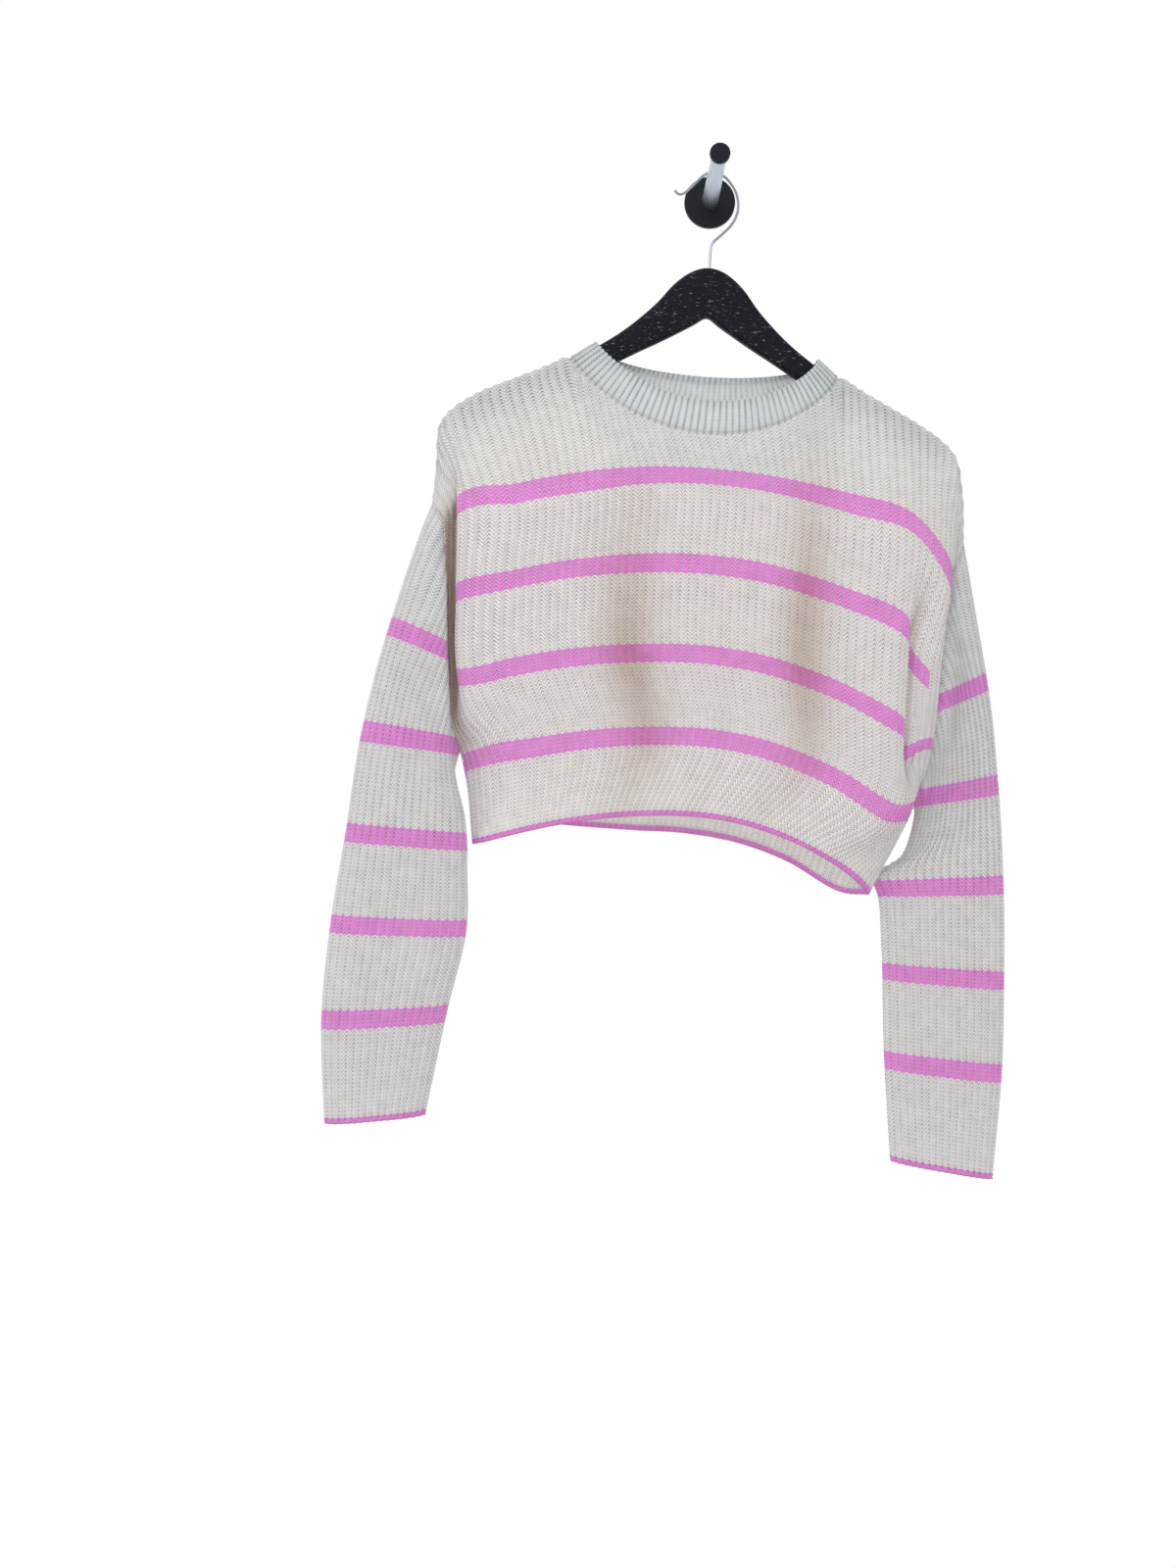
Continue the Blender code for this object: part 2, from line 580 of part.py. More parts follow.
def panel_seams(panel):
    """Top, left and right seams of a panel: positions along them, points, normals, and whether
    the piece sewn on there runs the other way."""
    surface = SURFACES[panel.name]
    front = panel.toward < 0
    seams = {}
    top = [(float(rib), shoulder_normal(rib)) for rib in range(NECK_LEFT + 1)]
    around = np.arange(1, NECK_RIBS // 2)
    for rib in (around if front else NECK_RIBS - around):
        top.append((float(neck_rib(panel, rib)), neck_normal(int(rib))))
    top += [(float(rib), shoulder_normal(rib)) for rib in range(NECK_RIGHT, BODY_RIBS + 1)]
    seams["top"] = [(at, surface([at], [0])[0, 0], normal, not front and NECK_LEFT <= at < NECK_RIGHT)
                    for at, normal in top]
    for side, sleeve in (("left", SLEEVE_LEFT), ("right", SLEEVE_RIGHT)):
        body = sleeve.body_rib
        ribs = np.arange(HALF_SLEEVE, -0.5, -1) if front else np.arange(HALF_SLEEVE, SLEEVE_RIBS + 0.5)
        line = []
        for rib in ribs:
            rib = float(rib) % SLEEVE_RIBS
            line.append((float(armhole_row(panel, sleeve, rib)), armhole_normal(sleeve, rib)))
        for row in SIDE_ROWS:
            line.append((row, seam_frame([meets("front", body, row), meets("back", body, row)])))
        seams[side] = [(at, surface([body], [at])[0, 0], normal, front and at < UNDERARM_ROW)
                       for at, normal in line]
    return seams


def panel_wall(panel, material):
    """The front or back: outer face with its ribs, plain inside, and the rims between them."""
    wall, surface, facing = Wall(), SURFACES[panel.name], FACING[panel.name]
    seams = panel_seams(panel)
    edges = {}
    for layer in ("outer", "inner"):
        corners = {}
        for side in ("top", "left", "right"):
            ids = []
            for at, point, normal, _ in seams[side]:
                rib, row = (at, 0.0) if side == "top" else ((0.0 if side == "left" else BODY_RIBS), at)
                key = (rib, row)
                if key not in corners:
                    across, down = (d[0, 0] for d in directions(surface, [rib], [row]))
                    inward = down if row < HEM_ROW and side == "top" else 0 * down
                    if rib in (0.0, BODY_RIBS):
                        inward = inward + (across if rib == 0.0 else -across)
                    height = VALLEY if layer == "outer" else -WALL_INSIDE
                    corners[key] = wall.line([inset(point, normal, inward) + normal * height])[0]
                ids.append(corners[key])
            edges[layer, side] = ids
        ribs = np.arange(0.5, BODY_RIBS, 0.5) if layer == "outer" else np.arange(1.0, BODY_RIBS, INSIDE_STEP)
        points = surface(ribs, PANEL_GRID_ROWS)
        out = normals(surface, ribs, PANEL_GRID_ROWS, facing)
        height = relief(ribs) if layer == "outer" else np.full(len(ribs), -WALL_INSIDE)
        if layer == "outer":
            height[[0, -1]] = VALLEY
        lines = [wall.line(row) for row in points + out * height[None, :, None]]
        wall.grid(lines)
        wall.strip(edges[layer, "top"], lines[0])
        for side, column in (("left", 0), ("right", -1)):
            wall.strip(edges[layer, side], [line[column] for line in lines])
        edges[layer, "hem"] = [edges[layer, "left"][-1]] + lines[-1] + [edges[layer, "right"][-1]]
    for side in ("top", "left", "right"):
        wall.rim(edges["outer", side], edges["inner", side], [seam[3] for seam in seams[side]])
    wall.strip(edges["outer", "hem"], edges["inner", "hem"])
    return wall.build(panel.name, material)


def tube_wall(name, ribs_round, grid_rows, seam_normal, seam_gap, material, inside_rows):
    """A sleeve or the neckband: a closed tube of cloth, sewn on along its first row."""
    wall, surface, facing = Wall(), SURFACES[name], FACING[name]
    seam_ribs = np.arange(ribs_round)
    start = surface(seam_ribs, [0.0])[0]
    shared = [seam_normal(float(rib)) for rib in seam_ribs]
    down = directions(surface, seam_ribs, [0.0])[1][0]
    ends = {}
    for layer in ("outer", "inner"):
        height = VALLEY if layer == "outer" else -WALL_INSIDE
        first = wall.line([inset(p, n, d, seam_gap(r)) + n * height
                           for p, n, d, r in zip(start, shared, down, seam_ribs)])
        ribs = np.arange(0, ribs_round, 0.5) if layer == "outer" else seam_ribs.astype(float)
        rows = grid_rows if layer == "outer" else inside_rows
        out = normals(surface, ribs, rows, facing)
        height = relief(ribs) if layer == "outer" else np.full(len(ribs), -WALL_INSIDE)
        lines = [wall.line(row) for row in surface(ribs, rows) + out * height[None, :, None]]
        lines = [line + line[:1] for line in lines]
        wall.strip(first + first[:1], lines[0], np.arange(ribs_round + 1), np.append(ribs, ribs_round))
        wall.grid(lines)
        ends[layer] = (first + first[:1], lines[-1])
    wall.grid([ends["outer"][0], ends["inner"][0]])
    wall.strip(ends["outer"][1], ends["inner"][1])
    return wall.build(name, material)


SLEEVE_GRID_ROWS = (ROLL_ROW, 0.6, 1.0, 1.5, 2.0, 2.5, 3.0, 3.7, 4.5, 5.2, CUFF_ROW)
TURN_RIBS = 4


def armhole_gap(rib):
    """Half of the armhole seam's gap at a rib of the sleeve."""
    return TURN_GAP if min(abs(rib - HALF_SLEEVE), rib, SLEEVE_RIBS - rib) < TURN_RIBS else SEAM_GAP


def neck_gap(rib):
    """Half of the neck seam's gap at a rib of the band."""
    return TURN_GAP if min(rib, abs(rib - HALF_BAND), NECK_RIBS - rib) < TURN_RIBS else SEAM_GAP


cream_knit = paint("cream_knit", (0.78, 0.74, 0.68), 0.9)
panel_wall(FRONT, cream_knit)
panel_wall(BACK, cream_knit)
for sleeve in (SLEEVE_LEFT, SLEEVE_RIGHT):
    tube_wall(sleeve.name, SLEEVE_RIBS, SLEEVE_GRID_ROWS, lambda rib, cut=sleeve: armhole_normal(cut, rib),
              armhole_gap, cream_knit, SLEEVE_GRID_ROWS)
tube_wall("neckband", NECK_RIBS, (0.45, 1.0), neck_normal, neck_gap, cream_knit, (0.45, 1.0))

# ------------------------------------------------------------------ hanger
# A flat wooden hanger: the heights of its top and bottom edges from the middle to an end.
HANGER_HALF_THICKNESS = 5.5
HANGER_EDGE = 4.0
HANGER_TOP_Z = -77.6
Edge = namedtuple("Edge", "x top bottom")
HANGER_EDGES = (
    Edge(0, HANGER_TOP_Z, -122), Edge(11, -79.8, -128.5), Edge(22.5, -86.5, -135.5),
    Edge(33.5, -96.8, -142), Edge(44, -110, -148), Edge(56, -122.5, -154.5), Edge(72, -137, -163.5),
    Edge(98, -155.8, -179), Edge(121, -170.4, -193), Edge(147, -182, -205),
    Edge(173, -193.8, -217), Edge(197, -205.8, -228), Edge(208, -213.0, -233),
    Edge(214.5, -218.6, -235), Edge(218.5, -223.6, -235.5), Edge(220.5, -227.5, -233),
)
SECTION_TURNS = (0, 45, 90)


def hanger_section(edge, side):
    """A rounded rectangle across the hanger at one place along it."""
    low, high = edge.bottom, edge.top
    radius = min(HANGER_EDGE, (high - low) / 2.2)
    section = []
    for y_sign, z_sign, turns in ((1, 1, SECTION_TURNS), (-1, 1, SECTION_TURNS[::-1]),
                                  (-1, -1, SECTION_TURNS), (1, -1, SECTION_TURNS[::-1])):
        for turn in turns:
            y = HANGER_HALF_THICKNESS - radius + radius * math.cos(math.radians(turn))
            z = (high - low) / 2 - radius + radius * math.sin(math.radians(turn))
            section.append((side * edge.x, y_sign * y, (high + low) / 2 + z_sign * z))
    return section


def hanger(material):
    """The wooden body: sections from end to end, closed by a flat face at each end."""
    wall = Wall()
    places = [(edge, -1) for edge in HANGER_EDGES[:0:-1]] + [(edge, 1) for edge in HANGER_EDGES]
    lines = [wall.line(hanger_section(edge, side)) for edge, side in places]
    wall.grid([line + line[:1] for line in lines])
    wall.faces += [tuple(lines[0]), tuple(lines[-1])]
    return wall.build("hanger", material)


hanger(paint("black_wood", (0.012, 0.012, 0.015), 0.45))

# ------------------------------------------------------------------ hook
# A steel wire that goes up from the hanger, round and over the peg, and ends in a short lip.
WIRE_RADIUS = 1.2
HookPoint = namedtuple("HookPoint", "x z")
HOOK_ROUTE = (
    HookPoint(0, HANGER_TOP_Z + 0.3), HookPoint(0, -62), HookPoint(1.5, -54.5), HookPoint(9, -46.8),
    HookPoint(16.8, -38.2), HookPoint(21.8, -28.8), HookPoint(23, -19), HookPoint(21, -9.2),
    HookPoint(16, -1), HookPoint(9, 5.9), HookPoint(0, 9.4), HookPoint(-9, 5.6),
    HookPoint(-15.5, -1), HookPoint(-21, -6.8), HookPoint(-26, -12), HookPoint(-31, -13.6),
    HookPoint(-35, -10.5),
)
HOOK_POINTS, WIRE_SIDES_LEVEL = 60, 2


def hook(material):
    """The wire, a bevelled curve through its route."""
    route = curve(range(len(HOOK_ROUTE)), HOOK_ROUTE, np.linspace(0, len(HOOK_ROUTE) - 1, HOOK_POINTS))
    wire = bpy.data.curves.new("hanger_hook", "CURVE")
    wire.dimensions = "3D"
    line = wire.splines.new("POLY")
    line.points.add(HOOK_POINTS - 1)
    for point, (x, z) in zip(line.points, route):
        point.co = (x * MM, 0, z * MM, 1)
    wire.bevel_depth = WIRE_RADIUS * MM
    wire.bevel_resolution = WIRE_SIDES_LEVEL
    wire.use_fill_caps = True
    wire.materials.append(material)
    piece = bpy.data.objects.new("hanger_hook", wire)
    piece.location = (0, HANG_DEPTH * MM, 0)
    piece.rotation_euler = (0, 0, HANG_TURN)
    bpy.context.scene.collection.objects.link(piece)
    return piece


hook(paint("steel_wire", (0.6, 0.6, 0.62), 0.3, 1.0))

# ------------------------------------------------------------------ wall peg
# A round plate flat on the wall, a rod out of its middle, and a cap on the rod's end.
PLATE_RADIUS, PLATE_THICKNESS = 23.5, 5.0
ROD_RADIUS_WALL, ROD_RADIUS_TIP, ROD_END = 7.6, 6.6, -113.0
CAP_RADIUS, CAP_THICKNESS, CAP_EDGE = 8.8, 5.0, 1.0
FACE_GAP = 0.3


def turned(name, stations, sides, material):
    """A round piece about the peg's axis: stations are (distance off the wall, radius)."""
    mesh = bpy.data.meshes.new(name)
    shell = bmesh.new()
    rings = []
    for depth, radius in stations:
        ring = []
        for side in range(sides):
            angle = 2 * math.pi * side / sides
            ring.append(shell.verts.new((radius * math.cos(angle) * MM, depth * MM,
                                         radius * math.sin(angle) * MM)))
        rings.append(ring)
    for one, two in zip(rings, rings[1:]):
        for a in range(sides):
            b = (a + 1) % sides
            shell.faces.new((one[a], one[b], two[b], two[a]))
    shell.faces.new(rings[0])
    shell.faces.new(rings[-1])
    bmesh.ops.recalc_face_normals(shell, faces=shell.faces)
    shell.to_mesh(mesh)
    shell.free()
    mesh.materials.append(material)
    mesh.shade_smooth()
    mesh.set_sharp_from_angle(angle=math.radians(40))
    piece = bpy.data.objects.new(name, mesh)
    bpy.context.scene.collection.objects.link(piece)
    return piece


black_plastic = paint("black_plastic", (0.015, 0.015, 0.017), 0.4)
turned("peg_plate", ((0, PLATE_RADIUS), (-PLATE_THICKNESS + 1, PLATE_RADIUS),
                     (-PLATE_THICKNESS, PLATE_RADIUS - 1)), 48, black_plastic)
turned("peg_rod", ((-PLATE_THICKNESS - FACE_GAP, ROD_RADIUS_WALL), (ROD_END, ROD_RADIUS_TIP)), 32,
       paint("brushed_steel", (0.7, 0.7, 0.72), 0.35, 1.0))
turned("peg_cap", ((ROD_END - FACE_GAP, CAP_RADIUS - CAP_EDGE),
                   (ROD_END - FACE_GAP - CAP_EDGE, CAP_RADIUS),
                   (ROD_END - FACE_GAP - CAP_THICKNESS + CAP_EDGE, CAP_RADIUS),
                   (ROD_END - FACE_GAP - CAP_THICKNESS, CAP_RADIUS - CAP_EDGE)), 32, black_plastic)
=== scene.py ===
"""A cropped cream rib-knit sweater with pink stripes, on a black wooden hanger hung from a wall peg."""
import math
from collections import namedtuple

import bpy
import numpy as np
from mathutils import Euler, Matrix, Quaternion, Vector


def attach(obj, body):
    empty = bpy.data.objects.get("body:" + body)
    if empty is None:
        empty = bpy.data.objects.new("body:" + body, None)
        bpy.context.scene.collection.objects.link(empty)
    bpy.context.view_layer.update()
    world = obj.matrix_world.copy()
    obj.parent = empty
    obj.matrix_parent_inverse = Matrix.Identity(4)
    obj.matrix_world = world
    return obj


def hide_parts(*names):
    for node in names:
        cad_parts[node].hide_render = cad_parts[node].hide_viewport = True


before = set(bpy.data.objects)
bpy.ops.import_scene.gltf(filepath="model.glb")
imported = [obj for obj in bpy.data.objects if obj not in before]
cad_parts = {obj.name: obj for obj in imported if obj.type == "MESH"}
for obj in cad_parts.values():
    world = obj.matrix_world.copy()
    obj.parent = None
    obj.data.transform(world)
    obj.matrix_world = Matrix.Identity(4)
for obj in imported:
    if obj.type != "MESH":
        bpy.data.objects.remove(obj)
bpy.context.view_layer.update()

# ------------------------------------------------------------------ camera
# A phone's view from the front, level with the middle of the body and tipped three degrees.
camera_data = bpy.data.cameras.new("camera")
camera_data.sensor_fit = "VERTICAL"
camera_data.sensor_height = 36.0
camera_data.lens = 36.0
camera = bpy.data.objects.new("camera", camera_data)
camera.location = (-0.0843, -1.453, -0.5429)
camera.rotation_mode = "QUATERNION"
level = Euler((math.radians(90), 0, 0)).to_quaternion()
camera.rotation_quaternion = level @ Quaternion((0, 0, 1), math.radians(3))
bpy.context.scene.collection.objects.link(camera)
bpy.context.scene.camera = camera

# ------------------------------------------------------------------ light
# A white room: even light from all round, with a large soft lamp above and to the left.
world = bpy.data.worlds.new("white_room")
world.use_nodes = True
world.node_tree.nodes["Background"].inputs["Color"].default_value = (1, 1, 1, 1)
world.node_tree.nodes["Background"].inputs["Strength"].default_value = 1.0
bpy.context.scene.world = world
bpy.context.scene.view_settings.view_transform = "Standard"
lamp_data = bpy.data.lights.new("soft_lamp", "AREA")
lamp_data.shape, lamp_data.size, lamp_data.energy = "DISK", 1.6, 16
lamp = bpy.data.objects.new("soft_lamp", lamp_data)
lamp.location = (-1.1, -1.9, 0.9)
towards_sweater = Vector((0, 0, -0.5)) - lamp.location
lamp.rotation_euler = towards_sweater.to_track_quat("-Z", "Y").to_euler()
bpy.context.scene.collection.objects.link(lamp)

# ------------------------------------------------------------------ floor
# A plain pale floor, below the sweater and out of the photograph's view.
FLOOR_WIDTH, FLOOR_DEPTH, FLOOR_MIDDLE = 2.6, 1.5, (0, -0.6, -1.42)
bpy.ops.mesh.primitive_plane_add(size=1)
floor = bpy.context.object
floor.name = "floor"
floor.data.transform(Matrix.Translation(FLOOR_MIDDLE) @ Matrix.Diagonal((FLOOR_WIDTH, FLOOR_DEPTH, 1, 1)))
pale = bpy.data.materials.new("pale_floor")
pale.use_nodes = True
paint = pale.node_tree.nodes["Principled BSDF"]
paint.inputs["Base Color"].default_value = (0.9, 0.9, 0.89, 1)
paint.inputs["Roughness"].default_value = 0.8
floor.data.materials.append(pale)

# ------------------------------------------------------------------ front and back
# Two rib-knit panels of the same half-cardigan stitch: 68 ribs across, with four pink bands of
# five courses and a pink course at the hem.  They hang from seams that lie over the hanger, and
# fold away from the viewer at both sides.  Tables are millimetres in the hanger's own frame.
MM = 0.001                              # a millimetre in metres
HANG_DEPTH = -52.0                      # the hanger's middle plane, in front of the wall
HANG_TURN = math.radians(5.5)           # how far the hanger is turned on its hook
HANGER_PLACE = Matrix.Translation((0, HANG_DEPTH * MM, 0)) @ Matrix.Rotation(HANG_TURN, 4, "Z")
BODY_RIBS = 68
NECK_LEFT, NECK_RIGHT = 19, 49          # the neck is open between these ribs of front and back
# Rows of front and back are counted in stripes: 0 top edge, 1 to 4 the stripes, 5 the hem.
YOKE_ROW, ARMPIT_ROW, UNDERARM_ROW, HEM_ROW = 0.5, 3.5, 3.75, 5.0

Point = namedtuple("Point", "x y z")
Line = namedtuple("Line", "rib yoke stripe1 stripe2 stripe3 armpit underarm stripe4 hem")


def curve(knots, points, at):
    """Points on a smooth curve that passes through the given points at the given knots."""
    knots, points = np.asarray(knots, float), np.asarray(points, float)
    slopes = np.gradient(points, knots, axis=0)
    at = np.clip(np.asarray(at, float), knots[0], knots[-1])
    span = np.clip(np.searchsorted(knots, at, side="right") - 1, 0, len(knots) - 2)
    width = (knots[span + 1] - knots[span])[:, None]
    t = (at - knots[span])[:, None] / width
    start = (2 * t**3 - 3 * t**2 + 1) * points[span] + (t**3 - 2 * t**2 + t) * width * slopes[span]
    end = (3 * t**2 - 2 * t**3) * points[span + 1] + (t**3 - t**2) * width * slopes[span + 1]
    return start + end


def dome(x):
    """1 in the middle and 0 at both ends of -1..1."""
    return np.maximum(0.0, 1.0 - np.asarray(x, float) ** 2)


def length_along(line):
    """Length from the first point of a line to each of its points."""
    return np.concatenate([[0], np.cumsum(np.linalg.norm(np.diff(line, axis=0), axis=1))])


# The shoulder seams lie on top of the hanger and drop over its ends.
Shoulder = namedtuple("Shoulder", "rib x y z")
SHOULDER_LEFT = (
    Shoulder(0, -234.5, -7, -303),
    Shoulder(2.5, -233.0, -6, -268),
    Shoulder(4.5, -232.5, -3, -238),
    Shoulder(6, -227.0, 0, -226),
    Shoulder(8, -213.0, 0, -213),
    Shoulder(10, -197.5, 0, -203),
    Shoulder(13, -173.0, 0, -191.2),
    Shoulder(19, -121.0, 0, -167.2),
)
SHOULDER_RIGHT = (
    Shoulder(49, 121.0, 0, -166.4),
    Shoulder(55, 173.0, 0, -191.2),
    Shoulder(58.5, 201.0, 0, -205.2),
    Shoulder(60.5, 216.5, 0, -214.5),
    Shoulder(62.5, 231.5, -1, -229),
    Shoulder(65, 239.0, -5, -262),
    Shoulder(68, 244.0, -7, -308),
)
Neckline = namedtuple("Neckline", "drop depth")
FRONT_NECK, BACK_NECK = Neckline(67.0, -36.0), Neckline(30.0, 27.0)
NECK_DROP_SHAPE, NECK_DEPTH_SHAPE = 0.75, 0.42


def top_edge(ribs, neckline):
    """Top edge of the front or back: shoulder seam, neckline, shoulder seam."""
    left = curve([p.rib for p in SHOULDER_LEFT], [p[1:] for p in SHOULDER_LEFT], ribs)
    right = curve([p.rib for p in SHOULDER_RIGHT], [p[1:] for p in SHOULDER_RIGHT], ribs)
    across = np.clip((ribs - NECK_LEFT) / (NECK_RIGHT - NECK_LEFT), 0, 1)
    edge = left * (1 - across[:, None]) + right * across[:, None]
    open_neck = dome(2 * across - 1)
    edge[:, 1] += neckline.depth * open_neck**NECK_DEPTH_SHAPE
    edge[:, 2] -= neckline.drop * open_neck**NECK_DROP_SHAPE
    return edge


# A row for each height of a panel: its middle, how much lower its two sides hang, and the two
# places (lip and fold) where it turns away from the viewer.
PanelRow = namedtuple("PanelRow", "row mid_y mid_z drop_left drop_right left_x left_y right_x right_y")
FRONT_ROWS = (
    PanelRow(1, -38, -271.7, 40, 27, -208, -29, 187.0, -40),
    PanelRow(2, -39, -347.7, 37, 44, -205, -31, 185.5, -43),
    PanelRow(3, -39, -426.0, 32, 52, -199, -32, 185.5, -43),
    PanelRow(ARMPIT_ROW, -38, -462.0, 29, 55, -184, -30, 187.0, -42),
    PanelRow(UNDERARM_ROW, -38, -479.5, 26, 56, -174, -28, 186.0, -40),
    PanelRow(4, -38, -497.5, 26, 57, -168, -26, 180.0, -36),
    PanelRow(HEM_ROW, -38, -566.5, 27, 30, -160, -24, 122.0, -34),
)
BACK_ROWS = (
    PanelRow(1, 27, -287.0, 42, 38, -195, 18, 205.0, 21),
    PanelRow(2, 29, -365.0, 38, 48, -190, 17, 200.0, 22),
    PanelRow(3, 30, -441.0, 32, 54, -184, 16, 190.0, 20),
    PanelRow(ARMPIT_ROW, 30, -476.0, 32, 56, -179, 14, 184.0, 15),
    PanelRow(UNDERARM_ROW, 29, -494.0, 29, 56, -175, 12, 180.0, 12),
    PanelRow(4, 28, -512.0, 22, 54, -172, 11, 174.0, 9),
    PanelRow(HEM_ROW, 26, -583.0, -6, 46, -165, 7, 152.0, 6),
)
FRONT_TURNS, BACK_TURNS = (5, 57), (5, 63)      # ribs of the lip and the fold
PANEL_STEPS = (0.0, 0.12, 0.26, 0.4, 0.55, 0.7, 0.85, 1.0)

# A row for each line down the cloth beyond those turns: its rib, then its point at the yoke,
# at each stripe, at the underarm and at the hem.
FRONT_SEAM_LEFT = Line(0, Point(-226, -30, -322), Point(-222, -24, -350), Point(-219, -18, -394),
                       Point(-214, -17, -456), Point(-208, -15, -499), Point(-200, -6, -520),
                       Point(-195, -7, -537), Point(-184.5, -9, -601))
FRONT_CREASE = Line(2.5, Point(-217, -29, -304), Point(-213.5, -20, -338), Point(-209.5, -17, -392),
                    Point(-203.5, -17, -456), Point(-197, -17, -497), Point(-188, -16, -514),
                    Point(-183, -16, -531), Point(-173.5, -17.5, -598))
FRONT_GUSSET = Line(64.5, Point(233, -19, -290), Point(229, -22, -342), Point(225, -23, -438),
                    Point(221.5, -23, -491), Point(216, -21, -516), Point(210, -18, -531),
                    Point(204, -18, -553), Point(157, -22, -617))
FRONT_SEAM_RIGHT = Line(68, Point(237, -12, -326), Point(228, -9, -352), Point(223, -11, -440),
                        Point(219, -13, -490), Point(215, -13, -518), Point(208, -6, -536),
                        Point(202, -8, -559), Point(173, -9, -629))
BACK_SEAM_LEFT = Line(0, Point(-234, 2, -326), Point(-230, 6, -352), Point(-224, 7, -400),
                      Point(-216, 6, -460), Point(-208, 3, -501), Point(-200, -6, -520),
                      Point(-195, -7, -537), Point(-184.5, -9, -601))
BACK_SEAM_RIGHT = Line(68, Point(245, 2, -332), Point(240, 7, -358), Point(230, 10, -436),
                       Point(223, 10, -494), Point(216, 5, -519), Point(208, -6, -536),
                       Point(202, -8, -559), Point(173, -9, -629))

# Soft folds down a panel: middle rib, half width in ribs, depth at the top and at the hem.
Fold = namedtuple("Fold", "rib half_width top hem")
FRONT_FOLDS = (Fold(24, 6, 0.0, 3.0), Fold(45, 6, 0.6, 4.0), Fold(35, 2.5, 0.0, 1.6))
BACK_FOLDS = (Fold(18, 9, -3.0, -7.0), Fold(49, 10, -4.0, -8.0), Fold(33, 6, 2.0, 3.0))

# Over the hanger the cloth bends round its top edge before it hangs free: share of the way to
# the yoke that a neck column has gone by then, how far out, and how far down.
Bend = namedtuple("Bend", "row share out down")
OVER_HANGER = (Bend(0.07, 0.14, 6.2, 1.5), Bend(0.16, 0.32, 8.8, 8.5))
PAST_HANGER = 5                         # ribs at each end of the shoulder that the hanger stops short of
YOKE_OUT = 4.0                          # how far the yoke below the hanger stands out
CORNER_SPREAD, CORNER_RIBS = 4.0, 3     # columns beside a neck corner lean this far away from it


def soft_folds(folds, ribs, row):
    """How far the folds push a panel away from the viewer at these ribs."""
    push = np.zeros(len(ribs))
    down = row / HEM_ROW
    for fold in folds:
        shape = dome(np.clip((ribs - fold.rib) / fold.half_width, -1, 1)) ** 2
        push += shape * (fold.top + (fold.hem - fold.top) * down)
    return push


def panel_row(panel, index, ribs):
    """Points across a panel at one of its tabled rows, from seam to seam."""
    row = panel.rows[index]
    turn_left, turn_right = panel.turns
    stations, points = [], []
    for line in panel.left:
        stations.append(line.rib)
        points.append(line[index + 2])
    for step in PANEL_STEPS:
        x = row.left_x + (row.right_x - row.left_x) * step
        side_x, side_y, drop = ((row.left_x, row.left_y, row.drop_left) if x < 0
                                else (row.right_x, row.right_y, row.drop_right))
        out = abs(x / side_x)
        stations.append(turn_left + (turn_right - turn_left) * step)
        points.append((x, row.mid_y + (side_y - row.mid_y) * out**4, row.mid_z - drop * out**2))
    for line in panel.right:
        stations.append(line.rib)
        points.append(line[index + 2])
    across = curve(stations, points, ribs)
    across[:, 1] += soft_folds(panel.folds, ribs, row.row)
    return across


def panel_yoke(panel, ribs):
    """Points across a panel at the yoke, half way from its top edge to its first stripe."""
    turn_left, turn_right = panel.turns
    stations = list(np.linspace(turn_left + 1, turn_right, 9))
    points = []
    for station in stations:
        at = np.array([station])
        half = (top_edge(at, panel.neckline) + panel_row(panel, 0, at)) / 2
        half[:, 1] += panel.toward * YOKE_OUT * on_shoulder(at)[:, 0]
        points.append(half[0])
    stations = [line.rib for line in panel.left] + stations + [line.rib for line in panel.right]
    points = [line.yoke for line in panel.left] + points + [line.yoke for line in panel.right]
    return curve(stations, points, ribs)


def on_shoulder(ribs):
    """1 where a column starts over the hanger, 0 where it starts at the neck or at the armhole."""
    inside = np.minimum(ribs - NECK_LEFT, NECK_RIGHT - ribs)
    from_end = np.minimum(ribs, BODY_RIBS - ribs) / PAST_HANGER
    return (np.clip(1.0 - 2.0 * inside, 0, 1) * np.clip(from_end, 0, 1))[:, None]


def panel_surface(panel, ribs, rows):
    """Middle of a panel's cloth on a grid of ribs and rows, in the hanger's frame."""
    ribs, rows = np.asarray(ribs, float), np.asarray(rows, float)
    top = top_edge(ribs, panel.neckline)
    lower = [panel_row(panel, index, ribs) for index in range(len(panel.rows))]
    yoke = panel_yoke(panel, ribs)
    bent, shoulder = [], on_shoulder(ribs)
    lean = (np.clip(1 - abs(ribs - NECK_RIGHT) / CORNER_RIBS, 0, 1)
            - np.clip(1 - abs(ribs - NECK_LEFT) / CORNER_RIBS, 0, 1))
    for bend in OVER_HANGER:
        neck = top * (1 - bend.share) + yoke * bend.share
        over = top + np.array([0.0, panel.toward * bend.out, -bend.down])
        over[:, 0] += CORNER_SPREAD * lean
        bent.append(neck * (1 - shoulder) + over * shoulder)
    knots = [0.0] + [bend.row for bend in OVER_HANGER] + [YOKE_ROW] + [row.row for row in panel.rows]
    stack = np.array([top] + bent + [yoke] + lower)
    flat = curve(knots, stack.reshape(len(knots), -1), rows)
    return flat.reshape(len(rows), len(ribs), 3)


Panel = namedtuple("Panel", "name toward neckline rows turns left right folds")
FRONT = Panel("front", -1, FRONT_NECK, FRONT_ROWS, FRONT_TURNS, (FRONT_SEAM_LEFT, FRONT_CREASE),
              (FRONT_GUSSET, FRONT_SEAM_RIGHT), FRONT_FOLDS)
BACK = Panel("back", 1, BACK_NECK, BACK_ROWS, BACK_TURNS, (BACK_SEAM_LEFT,), (BACK_SEAM_RIGHT,),
             BACK_FOLDS)


